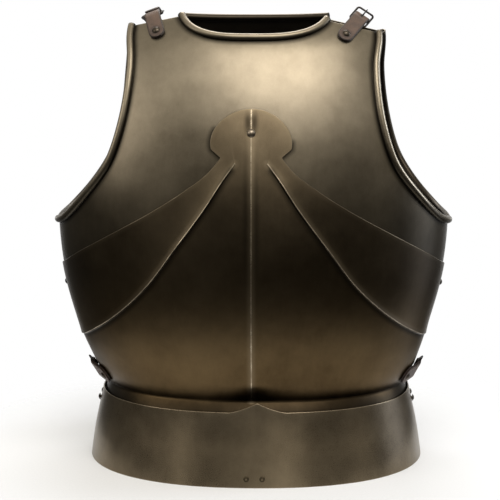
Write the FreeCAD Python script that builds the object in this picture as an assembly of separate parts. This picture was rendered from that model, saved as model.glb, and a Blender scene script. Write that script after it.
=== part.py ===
import FreeCAD, Part
import math
import os
from FreeCAD import Placement, Rotation, Vector

# Gothic cuirass: breastplate, plackart and fauld in front, backplate and culet behind, with leather
# straps and buckles. Millimetres and degrees. The wearer's front faces -Y, +Z is up, and the lowest
# rims of the fauld and the culet stand on Z = 0. Left and right are the viewer's, from the front.
# An angle goes round the body from the middle of the front (or of the back) towards the side.

# Sheet steel
sheet = 1.2
lap_gap = 0.4
plackart_out = sheet + lap_gap
backplate_out = 0.8

# From the middle of the sides to the middle of the overall depth
origin_shift = 7.0

# Form of the body: half width at the side by height, and depth of front and back by height
waist_height = 79.0
side_widths = (
    (waist_height, 152.5),
    (92.0, 161.5),
    (115.0, 172.0),
    (150.0, 184.0),
    (198.0, 196.0),
    (250.0, 201.0),
    (300.0, 200.0),
    (350.0, 191.0),
    (400.0, 176.0),
    (460.0, 156.0),
)
front_depths = (
    (waist_height, 118.0),
    (110.0, 127.0),
    (150.0, 138.0),
    (200.0, 147.0),
    (250.0, 150.0),
    (300.0, 147.0),
    (350.0, 137.0),
    (400.0, 118.0),
    (430.0, 101.0),
    (460.0, 72.0),
)
back_depths = (
    (waist_height, 108.0),
    (110.0, 115.0),
    (150.0, 126.0),
    (200.0, 136.0),
    (250.0, 141.0),
    (300.0, 141.0),
    (350.0, 137.0),
    (400.0, 124.0),
    (430.0, 110.0),
    (465.0, 80.0),
)
section_power = 2.25
side_edge_angle = 88.9
normal_ease = 40.0
waist_lean = 3.0
lean_top = 150.0
ridge_half_angle = 25.0

# Flange under the waist, which the fauld and the culet cover
flange_drop = 29.0
flange_side_out = 7.0
flange_front_out = 13.0
flange_back_out = 12.0

# Breastplate outline: angle and height of its edges
breast_foot = 150.0
neck_angle = 44.5
neck_foot_angle = 10.0
neck_height = 428.0
neck_rise_left = 24.0
neck_rise_right = 19.5
neck_power = 3.2
shoulder_angle = 59.6
shoulder_foot_angle = 20.0
shoulder_drop_left = 8.0
shoulder_drop_right = 10.0
shoulder_height_left = neck_height + neck_rise_left - shoulder_drop_left
shoulder_height_right = neck_height + neck_rise_right - shoulder_drop_right
armpit_height = 241.5
front_armhole_angles = (52.0, 47.2, 49.5, 57.5, 68.0)
front_armhole_shares = (0.85, 0.554, 0.354, 0.188, 0.065)
side_line_share = 0.35

# Backplate outline
back_neck_over_front = 22.5
back_neck_height = neck_height + back_neck_over_front
back_neck_rise = 1.5
back_shoulder_drop_left = 8.5
back_shoulder_drop_right = 12.0
back_shoulder_height_left = back_neck_height + back_neck_rise - back_shoulder_drop_left
back_shoulder_height_right = back_neck_height + back_neck_rise - back_shoulder_drop_right
back_shoulder_angle_left = 61.0
back_shoulder_angle_right = 63.5
back_armhole_angles = (57.0, 54.5, 58.0, 66.0, 76.0)
back_armhole_shares = (0.82, 0.544, 0.309, 0.148, 0.048)

# Rolled edges: the sheet is turned outward into a hollow roll
roll_radius = 3.8
roll_bore = 2.5
roll_lean = 1.2

# Plackart outline: foot of the finial, finial, upper edge and the embossed crease under it
finial_notch_angle = 11.2
finial_notch_height = 319.2
finial_angle = 15.3
finial_shoulder_height = 334.0
finial_tip_height = 364.5
finial_turns = (0.0, 30.0, 45.0, 103.0)
plackart_edge = ((15.4, 305.5), (24.0, 287.0), (34.5, 267.3), (44.0, 251.3), (59.3, 227.5), (72.0, 211.0))
plackart_side_height = 199.0
crease_start = (6.0, 314.0)
crease_line = ((10.0, 299.0), (16.0, 273.5), (26.0, 235.5), (37.0, 196.0), (54.0, 157.5), (71.0, 136.5))
crease_side_height = 128.0
crease_height = 3.4
crease_start_height = 0.2
crease_flare = 9.0
crease_drop = 1.6
crease_foot_angle = 3.0
crease_fade_in_share = 0.12
crease_fade_out_share = 0.72
crease_end_share = 0.25
keel_height = 5.0
keel_half_width = 26.0
keel_fade_top = 95.0
keel_fade_waist = 22.0

# Fauld and culet: the bands below the waist
band_foot = 0.0
band_trim = 3.0
band_top = 71.0
band_widths = ((0.0, 173.8), (30.0, 169.3), (57.5, 163.4), (72.0, 160.2))
fauld_depths = ((0.0, 148.0), (25.0, 142.0), (47.0, 137.2), (62.0, 135.4), (84.0, 135.0))
culet_depths = ((0.0, 134.0), (25.0, 129.0), (47.0, 125.2), (62.0, 123.8), (84.0, 123.4))
band_side_angle = 88.9
cusp_height = 9.5
cusp_side = 2.9
cusp_half_angle = 12.0
cusp_power = 1.45

# Rivets
rivet_head = 4.2
rivet_head_height = 2.6
rivet_shank = 1.6
rivet_tail = 2.7
rivet_tail_height = 1.2
hole_gap = 0.1
seat_gap = 0.1
centre_rivet_height = 342.2
centre_rivet_play = 0.4
side_rivet_angle = 85.0
side_rivet_height = 182.0
side_rivet_head = 3.4
side_rivet_head_height = 2.0
pivot_depth = 13.5
pivot_height = 57.5
pivot_head = 3.6
pivot_head_height = 1.9
fauld_pivot_grip = 6.0
fauld_pivot_stand = 1.6
culet_pivot_grip = 6.6
culet_pivot_stand = 1.8
eyelet_half_spacing = 7.8
eyelet_height = 8.3
eyelet_rim = 2.8
eyelet_bore = 0.9
eyelet_barrel = 1.7
eyelet_lip = 0.7

# Leather straps and their buckles
ply = 1.6
strap_seat = 0.35
shoulder_strap_width = 15.0
side_strap_width = 19.0
strap_tail = 8.0
strap_rivet_head = 3.9
strap_rivet_head_height = 1.9
strap_rivet_shank = 1.4
strap_rivet_tail = 2.6
strap_rivet_tail_height = 1.0
loop_run = 11.0
loop_start = 6.0
bar_radius = 1.0
bar_play = 0.15
frame_rod = 2.2
frame_half_thickness = 0.9
frame_half_length = 10.5
frame_side_play = 0.35
frame_corner = 3.5
frame_to_strap = 0.35
tongue_half_width = 0.9
tongue_ring = 1.9
tongue_rest = 0.2
tongue_thickness = 1.1
tongue_slot_play = 0.4
tongue_slot_run = 4.4
tongue_overhang = 0.5

# Places of the straps: angle round the body and drop of each rivet under the shoulder's tip, and the
# runs of each strap from its rivet with their bends towards the body
shoulder_left_angle = 48.2
shoulder_left_drop = 7.2
shoulder_left_height = shoulder_height_left - shoulder_left_drop
shoulder_left_tilt = 19.0
shoulder_left_runs = (20.0, 10.0)
shoulder_left_bends = (4.0, 38.0)
shoulder_right_angle = 46.4
shoulder_right_drop = 3.9
shoulder_right_height = shoulder_height_right - shoulder_right_drop
shoulder_right_tilt = 42.0
shoulder_right_runs = (15.5,)
shoulder_right_bends = (0.0,)
side_strap_angle = 72.0
side_strap_rise = 12.0
side_strap_height = waist_height + side_strap_rise
side_strap_runs = (20.0,)
side_strap_bends = (2.0,)
billet_angle = 50.0
billet_drop_left = 3.5
billet_drop_right = 2.0
billet_height_left = back_shoulder_height_left - billet_drop_left
billet_height_right = back_shoulder_height_right - billet_drop_right
billet_runs = (14.0, 20.0)
billet_bends = (3.0, 44.0)
billet_free_run = 80.0
billet_free_bend = 6.0
billet_gap = 0.15
billet_dip = 0.5
billet_turn = 3.0
billet_end = 14.0
billet_hole_radius = 1.3
billet_hole_spacing = 13.0
billet_holes = 3
rail_lead = 4.0
side_billet_angle = 73.5
side_billet_turns = (70.2, 73.5, 78.0, 83.0, 88.0, 87.3)

# Number of steps in the meshes of points that the curved sheets pass through
edge_steps = 16
band_steps = 64
short_steps = 4
rise_steps = 28
roll_steps = 14
bore_steps = 6
bridge_steps = 6
arc_steps = 4
rail_steps = 3
dip_steps = 4
probe = 0.25
tip_probe = 0.001
flare_steps = 8
flange_steps = 4
strap_steps = 12
lie_steps = 5
buckled_strap_steps = 128


def through(pairs):
    """A smooth line through (position, value) pairs."""
    at = [p[0] for p in pairs]
    value = [p[1] for p in pairs]
    last = len(pairs) - 1
    rate = [(value[i + 1] - value[i]) / (at[i + 1] - at[i]) for i in range(last)]
    slope = [rate[0]] + [0.0] * (last - 1) + [rate[-1]]
    for i in range(1, last):
        before = at[i] - at[i - 1]
        after = at[i + 1] - at[i]
        slope[i] = (rate[i - 1] * after + rate[i] * before) / (before + after)

    def read(x):
        if x <= at[0]:
            return value[0] + slope[0] * (x - at[0])
        if x >= at[-1]:
            return value[-1] + slope[-1] * (x - at[-1])
        i = max(k for k in range(last) if at[k] <= x)
        span = at[i + 1] - at[i]
        t = (x - at[i]) / span
        u = 1 - t
        start = value[i] * (1 + 2 * t) * u * u + slope[i] * span * t * u * u
        end = value[i + 1] * (3 - 2 * t) * t * t - slope[i + 1] * span * t * t * u
        return start + end

    return read


def course(points):
    """A smooth course through (angle, height) pairs, by its share of the way."""
    degree = side_widths[3][1] * math.pi / 180
    way = [0.0]
    for a, b in zip(points, points[1:]):
        way.append(way[-1] + math.hypot((b[0] - a[0]) * degree, b[1] - a[1]))
    angles = through([(w, p[0]) for w, p in zip(way, points)])
    heights = through([(w, p[1]) for w, p in zip(way, points)])
    return lambda share: (angles(share * way[-1]), heights(share * way[-1]))


def ease(x):
    """0 below 0, 1 above 1, smooth between."""
    t = min(max(x, 0.0), 1.0)
    return t * t * (3 - 2 * t)


def mix(a, b, share):
    return tuple(p + (q - p) * share for p, q in zip(a, b))


class Form:
    """The curved surface that a sheet follows: facing -1 is the front, +1 the back."""

    def __init__(self, widths, depths, facing, flange=None):
        self.width = through(widths)
        self.depth = through(depths)
        self.facing = facing
        self.flange = flange

    def middle(self, height):
        """The middle of the waist sits a little to the right of the middle of the chest."""
        return waist_lean * ease((lean_top - height) / (lean_top - waist_height))

    def sizes(self, height):
        if self.flange is None or height >= waist_height:
            return self.width(height), self.depth(height)
        share = min((waist_height - height) / flange_drop, 1.0)
        out = 1 - (1 - share) ** 2
        side_out, depth_out = self.flange
        return self.width(waist_height) + side_out * out, self.depth(waist_height) + depth_out * out

    def across(self, angle, height):
        """How far a place lies to the side of the section's own middle, and how far out."""
        a = math.radians(angle)
        width, depth = self.sizes(height)
        reach = (abs(math.sin(a)) / width) ** section_power + (abs(math.cos(a)) / depth) ** section_power
        r = reach ** (-1 / section_power)
        return r * math.sin(a), r * math.cos(a)

    def radial(self, angle, height):
        """A plate with a flange keeps its ridge upright, so the lean sets in away from its middle."""
        across, along = self.across(angle, height)
        lean = self.middle(height) * (ease(abs(angle) / ridge_half_angle) if self.flange else 1)
        return Vector(lean + across, self.facing * along, height)

    def angle_at(self, across, height):
        """The angle of the place that lies so far to the side."""
        width, depth = self.sizes(height)
        share = min(abs(across) / width, 1.0)
        along = depth * (1 - share**section_power) ** (1 / section_power)
        return math.copysign(math.degrees(math.atan2(abs(across), along)), across)

    def normal(self, angle, height, eased=True):
        """Square to the form; eased to level near and under the waist, where the flange begins."""
        round_it = self.radial(angle + probe, height) - self.radial(angle - probe, height)
        up = self.radial(angle, height + probe) - self.radial(angle, height - probe)
        if self.flange is not None and eased:
            share = ease((height - waist_height) / normal_ease)
            up = Vector(up.x * share, up.y * share, up.z)
        n = round_it.cross(up)
        n.normalize()
        outward = self.radial(angle, height) - Vector(self.middle(height), 0, height)
        return n if n.dot(outward) > 0 else n * -1

    def point(self, angle, height, out=0.0):
        return self.radial(angle, height) + self.normal(angle, height) * out

    def seat(self, angle, height, out, along=None):
        """A frame on the form with Z square to it and X along, or else level towards the side edge."""
        n = self.normal(angle, height, False)
        if along is None:
            along = self.radial(angle + math.copysign(probe, angle), height) - self.radial(angle, height)
        flat = along - n * along.dot(n)
        flat.normalize()
        return frame_at(self.point(angle, height, out), flat, n)


front = Form(side_widths, front_depths, -1)
front_low = Form(side_widths, front_depths, -1, (flange_side_out, flange_front_out))
back = Form(side_widths, back_depths, 1, (flange_side_out, flange_back_out))
fauld_form = Form(band_widths, fauld_depths, -1)
culet_form = Form(band_widths, culet_depths, 1)


def line_poles(points):
    """Poles of the smooth cubic line through evenly timed points."""
    last = len(points) - 1
    slopes = []
    for i in range(last + 1):
        if last == 1:
            slopes.append(points[1] - points[0])
        elif i == 0:
            slopes.append((points[1] * 4 - points[0] * 3 - points[2]) * 0.5)
        elif i == last:
            slopes.append((points[last] * 3 - points[last - 1] * 4 + points[last - 2]) * 0.5)
        elif i in (1, last - 1):
            slopes.append((points[i + 1] - points[i - 1]) * 0.5)
        else:
            slopes.append(((points[i + 1] - points[i - 1]) * 8 - points[i + 2] + points[i - 2]) * (1 / 12))
    poles = [points[0]]
    for i in range(last):
        poles += [points[i] + slopes[i] * (1 / 3), points[i + 1] - slopes[i + 1] * (1 / 3)]
    return poles + [points[last]]


def knots(spans):
    return [4] + [2] * (spans - 1) + [4], [float(i) for i in range(spans + 1)]


def skin(grid):
    """The smooth face through a grid of points."""
    rows = [line_poles(row) for row in grid]
    columns = [line_poles(list(column)) for column in zip(*rows)]
    poles = [list(row) for row in zip(*columns)]
    u_mults, u_knots = knots(len(grid) - 1)
    v_mults, v_knots = knots(len(grid[0]) - 1)
    surface = Part.BSplineSurface()
    surface.buildFromPolesMultsKnots(poles, u_mults, v_mults, u_knots, v_knots, False, False, 3, 3)
    return surface.toShape()


def rim(one, other):
    """The narrow face between two lines of points, across the thickness of the sheet."""
    poles = [list(pair) for pair in zip(line_poles(one), line_poles(other))]
    mults, places = knots(len(one) - 1)
    surface = Part.BSplineSurface()
    surface.buildFromPolesMultsKnots(poles, mults, [2, 2], places, [0.0, 1.0], False, False, 3, 1)
    return surface.toShape()


def curve(points):
    mults, places = knots(len(points) - 1)
    line = Part.BSplineCurve()
    line.buildFromPolesMultsKnots(line_poles(points), mults, places, False, 3)
    return line.toShape()


class Sheet:
    """A piece of sheet put together from patches that meet edge to edge."""

    def __init__(self, thickness=sheet):
        self.half = thickness / 2
        self.faces = []

    def patch(self, place, across, up, free=""):
        """place(u, v) gives the middle of the sheet and its normal; free names the edges: l r b t."""
        outer, inner = [], []
        for i in range(across + 1):
            spots = [place(i / across, j / up) for j in range(up + 1)]
            outer.append([p + n * self.half for p, n in spots])
            inner.append([p - n * self.half for p, n in spots])
        self.faces += [skin(outer), skin(inner)]
        lines = {
            "l": (outer[0], inner[0]),
            "r": (outer[-1], inner[-1]),
            "b": ([row[0] for row in outer], [row[0] for row in inner]),
            "t": ([row[-1] for row in outer], [row[-1] for row in inner]),
        }
        self.faces += [rim(*lines[side]) for side in free]
        return outer, inner

    def roll(self, outer, inner):
        """Turns the top edge of a patch outward into a hollow roll with open ends."""
        rim_out = [row[-1] for row in outer]
        rim_in = [row[-1] for row in inner]
        middle = [(a + b) * 0.5 for a, b in zip(rim_out, rim_in)]
        below = [(a[-2] + b[-2]) * 0.5 for a, b in zip(outer, inner)]
        last = len(middle) - 1
        far = math.sqrt(roll_radius**2 - (sheet / 2) ** 2)
        up_at = math.atan2(sheet / 2 - roll_lean, far)
        down_at = math.atan2(-sheet / 2 - roll_lean, far) + 2 * math.pi
        up_reach = math.hypot(far, sheet / 2 - roll_lean)
        down_reach = math.hypot(far, sheet / 2 + roll_lean)
        shell, bore_out, bore_in = [], [], []
        for i in range(last + 1):
            if i == 0:
                along = middle[1] * 4 - middle[0] * 3 - middle[2]
            elif i == last:
                along = middle[last] * 3 - middle[last - 1] * 4 + middle[last - 2]
            else:
                along = middle[i + 1] - middle[i - 1]
            out = rim_out[i] - rim_in[i]
            out.normalize()
            along = along - out * along.dot(out)
            along.normalize()
            away = along.cross(out)
            if away.dot(middle[i] - below[i]) < 0:
                away = away * -1
            centre = middle[i] + away * far + out * roll_lean

            def spot(reach, turn):
                return centre - away * (reach * math.cos(turn)) + out * (reach * math.sin(turn))

            ring = []
            for j in range(roll_steps + 1):
                share = j / roll_steps
                reach, turn = mix((up_reach, up_at), (down_reach, down_at), share)
                ring.append(spot(reach, turn))
            ring[0] = rim_out[i]
            ring[-1] = rim_in[i]
            shell.append(ring)
            half = [math.pi * j / bore_steps for j in range(bore_steps + 1)]
            bore_out.append([spot(roll_bore, turn) for turn in half])
            bore_in.append([spot(roll_bore, turn + math.pi) for turn in half])
        self.faces += [skin(shell), skin(bore_out), skin(bore_in)]
        for i in (0, last):
            round_it = Part.Wire([curve(shell[i]), Part.makeLine(rim_in[i], rim_out[i])])
            hole = Part.Wire([curve(bore_out[i]), curve(bore_in[i])])
            self.faces.append(Part.makeFace([round_it, hole], "Part::FaceMakerBullseye"))

    def solid(self):
        return Part.makeSolid(Part.makeShell(self.faces))


def frame_at(origin, along, out):
    """Placement with X along and Z out."""
    return Placement(origin, Rotation(along, out.cross(along), out, "ZXY"))


def mirrored(points, side):
    return [(side * a, h) for a, h in points]


def armhole_line(side, tip, armhole):
    """Places down an armhole from the shoulder's tip, with heights as shares of the way from the armpit."""
    rise = tip[1] - armpit_height
    places = [(side * angle, armpit_height + rise * share) for angle, share in zip(*armhole)]
    return course([tip] + places + [(side * side_edge_angle, armpit_height)])


def neck_line(form_height, rise_left, rise_right):
    def read(share):
        rise = rise_left if share < 0 else rise_right
        return neck_angle * share, form_height + rise * abs(share) ** neck_power

    return read


def upper_plate(form, out, foot, neck, shoulder_angles, shoulder_heights, armhole, flange=None):
    """A plate with rolled neck and armholes, shoulders and straight side edges."""
    plate = Sheet()

    def patch(low, high, across, up, free, sideways=None):
        """Lines up the plate are straight from the front, and by the side edge they keep their angle."""

        def place(u, v):
            a, b = low(u), high(u)
            angle, height = mix(a, b, v)
            level = mix(form.across(*a), form.across(*b), v)[0]
            seen = form.angle_at(level, height)
            angle = seen + (angle - seen) * (sideways(u) if sideways else 0)
            return form.point(angle, height, out), form.normal(angle, height)

        return plate.patch(place, across, up, free)

    def foot_line(a, b):
        return lambda u: (a + (b - a) * u, foot)

    def skirt(a, b, across, free):
        if flange is None:
            return
        low = lambda u: (a + (b - a) * u, flange)
        patch(low, foot_line(a, b), across, flange_steps, "b" + free, lambda u: 1)

    low_free = "b" if flange is None else ""
    neck_foot = foot_line(-neck_foot_angle, neck_foot_angle)
    plate.roll(*patch(neck_foot, lambda u: neck(2 * u - 1), edge_steps, rise_steps, low_free))
    skirt(-neck_foot_angle, neck_foot_angle, edge_steps, "")
    for side in (-1, 1):
        corner = neck(side)
        tip = (side * shoulder_angles[side > 0], shoulder_heights[side > 0])
        near = side * neck_foot_angle
        far = side * shoulder_foot_angle
        end = side * side_edge_angle
        patch(foot_line(near, far), lambda u: mix(corner, tip, u), short_steps, rise_steps, low_free + "t")
        skirt(near, far, short_steps, "")
        edge = armhole_line(side, tip, armhole)
        toward_side = lambda u: ease((u - side_line_share) / (1 - side_line_share))
        plate.roll(*patch(foot_line(far, end), edge, edge_steps, rise_steps, low_free + "r", toward_side))
        skirt(far, end, edge_steps, "r")
    return plate.solid()


def keel(x, height):
    top = ease((finial_tip_height - height) / keel_fade_top)
    waist = ease((height - waist_height) / keel_fade_waist)
    return keel_height * top * waist * math.exp(-abs(x) / keel_half_width)


def crease_rise(share):
    """Height of the embossed crease by its share of the way from the finial to the side."""
    start = crease_start_height / crease_height
    rise = start + (1 - start) * ease(share / crease_fade_in_share)
    fall = 1 - (1 - crease_end_share) * ease((share - crease_fade_out_share) / (1 - crease_fade_out_share))
    return crease_height * rise * fall


def plackart_solid():
    """Both halves meet in the keel; each has the finial, the flared flank, the low panel and flange."""
    plate = Sheet()
    form = front_low

    def spot(angle, height, lift=0.0):
        n = form.normal(angle, height)
        p = form.radial(angle, height) + n * (plackart_out + lift)
        return p + Vector(0, -keel(p.x, height), 0), n

    for side in (-1, 1):
        end = side * side_edge_angle
        crest = course(mirrored([crease_start] + list(crease_line), side) + [(end, crease_side_height)])
        notch = (side * finial_notch_angle, finial_notch_height)
        top_edge = course([notch] + mirrored(plackart_edge, side) + [(end, plackart_side_height)])
        start = crest(0)
        low_start = (start[0], start[1] - crease_drop)
        middle = (0.0, low_start[1])

        def low_crest(u):
            angle, height = crest(u)
            return angle, height - crease_drop

        def arch(turn):
            angle = finial_angle * side * math.sin(math.radians(turn))
            rise = (finial_tip_height - finial_shoulder_height) * math.cos(math.radians(turn))
            return angle, finial_shoulder_height + rise

        def between(low, high, across, up, free="", lift=None):
            def place(u, v):
                angle, height = mix(low(u), high(u), v)
                return spot(angle, height, lift(u, v) if lift else 0.0)

            plate.patch(place, across, up, free)

        def line(a, b):
            return lambda u: mix(a, b, u)

        inner_foot = side * crease_foot_angle
        foot_a = line((0.0, waist_height), (inner_foot, waist_height))
        foot_b = line((inner_foot, waist_height), (end, waist_height))
        flange_foot = waist_height - flange_drop
        between(foot_a, line(middle, low_start), short_steps, rise_steps)
        between(foot_b, low_crest, edge_steps, rise_steps, "r")
        between(line((0.0, flange_foot), (inner_foot, flange_foot)), foot_a, short_steps, flange_steps, "b")
        between(line((inner_foot, flange_foot), (end, flange_foot)), foot_b, edge_steps, flange_steps, "br")
        between(low_crest, crest, edge_steps, 1, "r", lambda u, v: crease_rise(u) * v)

        def flank(u, v):
            low = spot(*crest(u))[0]
            here = spot(*mix(crest(u), top_edge(u), v))[0]
            return crease_rise(u) * math.exp(-(here - low).Length / crease_flare)

        between(crest, top_edge, edge_steps, flare_steps, "rt", flank)
        turns = finial_turns
        feet = (middle, low_start, start, notch)
        counts = (short_steps, 1, flare_steps)
        for k, across in enumerate(counts):
            high = lambda u: arch(turns[k] + (turns[k + 1] - turns[k]) * u)
            free = "tr" if k == len(counts) - 1 else "t"
            first_lift = (lambda u, v: crease_rise(0) * u * (1 - v)) if k == 1 else None
            last_lift = (lambda u, v: flank(0, u) * (1 - v)) if k == 2 else None
            between(line(feet[k], feet[k + 1]), high, across, short_steps, free, first_lift or last_lift)
    return plate.solid()


def band_solid(form, cusp):
    """The fauld, with a cusp at the middle of its upper edge, or the plain culet."""
    plate = Sheet()
    middle = math.degrees(math.atan2(cusp_side, form.depth(band_top)))
    for side in (-1, 1):

        def place(u, v):
            angle = middle + (side * band_side_angle - middle) * u
            rise = cusp * max(1 - abs(angle - middle) / cusp_half_angle, 0.0) ** cusp_power
            height = band_foot - band_trim + (band_top + rise - band_foot + band_trim) * v
            return form.point(angle, height), form.normal(angle, height)

        plate.patch(place, band_steps, rise_steps, "rbt")
    wide = 2 * form.width(band_foot)
    below = Part.makeBox(2 * wide, 2 * wide, wide, Vector(-wide, -wide, band_foot - wide))
    return plate.solid().cut(below)


def turned(profile):
    """Solid of revolution about Z from (radius, height) points; a three-item entry is an arc's middle."""
    edges = []
    points = [p for p in profile if len(p) == 2]
    arcs = {}
    for i, p in enumerate(profile):
        if len(p) == 3:
            arcs[profile[i - 1]] = p
    for a, b in zip(points, points[1:] + points[:1]):
        start, end = Vector(a[0], 0, a[1]), Vector(b[0], 0, b[1])
        if a in arcs:
            middle = Vector(arcs[a][0], 0, arcs[a][1])
            edges.append(Part.Arc(start, middle, end).toShape())
        else:
            edges.append(Part.makeLine(start, end))
    return Part.Face(Part.Wire(edges)).revolve(Vector(0, 0, 0), Vector(0, 0, 1), 360)


def dome(radius, height):
    """A point half way along the arc of a low dome, as a share of the quarter turn."""
    ball = (radius**2 + height**2) / (2 * height)
    x = radius / 2
    return x, math.sqrt(ball**2 - x**2) - (ball - height), "arc"


def rivet(head, head_height, shank, grip, tail, tail_height):
    """Domed head above Z = 0, shank down through the grip, and the peened tail."""
    top = dome(head, head_height)
    low = dome(tail, tail_height)
    return turned(
        [
            (0.0, head_height),
            top,
            (head, 0.0),
            (shank, 0.0),
            (shank, -grip),
            (tail, -grip),
            (low[0], -grip - low[1], "arc"),
            (0.0, -grip - tail_height),
        ]
    )


def drill(radius, half_length):
    return Part.makeCylinder(radius, 2 * half_length, Vector(0, 0, -half_length))


def placed(shape, placement):
    copy = shape.copy()
    copy.Placement = placement.multiply(copy.Placement)
    return copy


# Leather and buckles, each drawn with X along the strap, Y across it and Z away from the body.
# A buckle's frame of reference has the middle bar as its Y axis.
strap_thickness = 2 * ply
loop_bore = bar_radius + bar_play
loop_radius = loop_bore + ply
strap_over_bar = frame_half_thickness + frame_to_strap


def along_stages(stages, run):
    """Frame after a run along a strap's underside, through its stages of (length, bend)."""
    place = Placement()
    for length, bend in stages:
        part = min(run, length)
        turn = math.radians(bend * part / length)
        reach = Vector(part, 0, 0)
        if turn:
            radius = part / turn
            reach = Vector(radius * math.sin(turn), 0, radius * (math.cos(turn) - 1))
        place = place.multiply(Placement(reach, Rotation(Vector(0, 1, 0), math.degrees(turn))))
        run -= part
    return place


def bar_place(stages):
    end = along_stages(stages, sum(length for length, bend in stages))
    return end.multiply(Placement(Vector(loop_run + loop_start, 0, -strap_over_bar), Rotation()))


def round_tip(width, tip, inward):
    """What a round tip takes off a strap's end: tip is its X, inward the sign of X into the strap."""
    half = width / 2
    tall = 8 * strap_thickness
    block = Part.makeBox(width, 2 * width, tall, Vector(tip - half, -width, -tall / 2))
    return block.cut(Part.makeCylinder(half, tall, Vector(tip + inward * half, 0, -tall / 2)))


def folded_strap(width, stages):
    """The short strap, folded round the buckle's bar and riveted through both plies."""
    to_bar = bar_place(stages)
    edges = []
    for height in (0.0, strap_thickness):
        run = 0.0
        start = Vector(-strap_tail, 0, height)
        stops = [(start, None)]
        for length, bend in ((0.0, 0.0),) + stages:
            middle = along_stages(stages, run + length / 2).multVec(Vector(0, 0, height))
            run += length
            end = along_stages(stages, run).multVec(Vector(0, 0, height))
            stops.append((end, middle if bend else None))
        stops.append((to_bar.multVec(Vector(-loop_start, 0, strap_over_bar + height)), None))
        for (a, skipped), (b, middle) in zip(stops, stops[1:]):
            edges.append(Part.Arc(a, middle, b).toShape() if middle else Part.makeLine(a, b))
    diagonal = loop_radius / math.sqrt(2)
    crown_x = -ply / 4
    loop = [
        Vector(-loop_start, 0, strap_over_bar),
        Vector(-diagonal, 0, -diagonal),
        Vector(loop_radius, 0, 0),
        Vector(crown_x, 0, math.sqrt(loop_radius**2 - crown_x**2)),
        Vector(-loop_start, 0, strap_over_bar + strap_thickness),
    ]
    near_low, low, nose, crown, near_high = [to_bar.multVec(p) for p in loop]
    edges += [
        Part.makeLine(near_low, low),
        Part.Arc(low, nose, crown).toShape(),
        Part.makeLine(crown, near_high),
        Part.makeLine(Vector(-strap_tail, 0, 0), Vector(-strap_tail, 0, strap_thickness)),
    ]
    outline = Part.Wire(Part.__sortEdges__(edges))
    leather = Part.Face(outline).extrude(Vector(0, width, 0))
    leather.translate(Vector(0, -width / 2, 0))
    bore = Part.makeCylinder(loop_bore, width, Vector(0, -width / 2, 0), Vector(0, 1, 0))
    slot_half = tongue_half_width + tongue_slot_play
    slot_length = tongue_slot_run + loop_radius + ply
    slot_height = loop_radius + strap_over_bar + strap_thickness + ply
    slot = Part.makeBox(
        slot_length, 2 * slot_half, slot_height, Vector(-tongue_slot_run, -slot_half, -loop_radius)
    )
    leather = leather.cut(placed(bore, to_bar)).cut(placed(slot, to_bar))
    leather = leather.cut(round_tip(width, -strap_tail, 1))
    return leather.cut(drill(strap_rivet_shank + hole_gap, 2 * strap_thickness))


def rounded_block(half_x, half_y, half_z, corner):
    block = Part.makeBox(2 * half_x, 2 * half_y, 2 * half_z, Vector(-half_x, -half_y, -half_z))
    upright = [e for e in block.Edges if abs(e.tangentAt(e.FirstParameter).z) > 0.5]
    return block.makeFillet(corner, upright)


def buckle_frame(width):
    """Rectangular frame with a middle bar."""
    clear = width / 2 + frame_side_play
    outer = rounded_block(frame_half_length, clear + frame_rod, frame_half_thickness, frame_corner)
    window = frame_half_length - frame_rod
    inner = rounded_block(window, clear, 2 * frame_half_thickness, frame_corner - frame_rod)
    reach = clear + frame_rod / 2
    bar = Part.makeCylinder(bar_radius, 2 * reach, Vector(0, -reach, 0), Vector(0, 1, 0))
    return outer.cut(inner).fuse(bar).removeSplitter()


def buckle_tongue():
    """Ring round the bar with a prong that rests on the frame's far rail."""
    base = frame_half_thickness + tongue_rest
    half = tongue_half_width
    ring = Part.makeCylinder(tongue_ring, 2 * half, Vector(0, -half, 0), Vector(0, 1, 0))
    reach = frame_half_length + tongue_overhang
    side = [
        Vector(0, 0, base),
        Vector(reach, 0, base),
        Vector(reach, 0, base + tongue_thickness / 2),
        Vector(reach - frame_rod, 0, base + tongue_thickness),
        Vector(0, 0, base + tongue_thickness),
    ]
    prong = Part.Face(Part.makePolygon(side + side[:1])).extrude(Vector(0, 2 * half, 0))
    prong.translate(Vector(0, -half, 0))
    bore = Part.makeCylinder(loop_bore, 4 * half, Vector(0, -2 * half, 0), Vector(0, 1, 0))
    return ring.fuse(prong).cut(bore).removeSplitter()


def strap_rivet(leather, plates):
    """Rivet through a strap and the plates under it; Z = 0 is the outer face of the plates."""
    grip = leather + strap_seat + plates + 2 * seat_gap
    shape = rivet(
        strap_rivet_head,
        strap_rivet_head_height,
        strap_rivet_shank,
        grip,
        strap_rivet_tail,
        strap_rivet_tail_height,
    )
    shape.translate(Vector(0, 0, strap_seat + leather + seat_gap))
    return shape


def uphill(angle, tilt):
    """The upward way of a shoulder strap as seen from the front, tilted outward."""
    side = math.copysign(1, angle)
    return Vector(side * math.sin(math.radians(tilt)), 0, math.cos(math.radians(tilt)))


def slide(form, angle, height, seen):
    """A direction on the form that looks like the seen one from the front."""
    n = form.normal(angle, height, False)
    return Vector(seen.x, -(n.x * seen.x + n.z * seen.z) / n.y, seen.z)


def smooth_path(spots):
    """A smooth way through (point, across) pairs, read by its share."""
    way = [0.0]
    for (a, skipped), (b, across) in zip(spots, spots[1:]):
        way.append(way[-1] + (b - a).Length)
    lines = []
    for pick in (0, 1):
        lines.append([through([(w, spot[pick][k]) for w, spot in zip(way, spots)]) for k in range(3)])

    def read(share):
        w = share * way[-1]
        point, across = [Vector(*[line(w) for line in three]) for three in lines]
        across.normalize()
        return point, across

    return read


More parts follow.
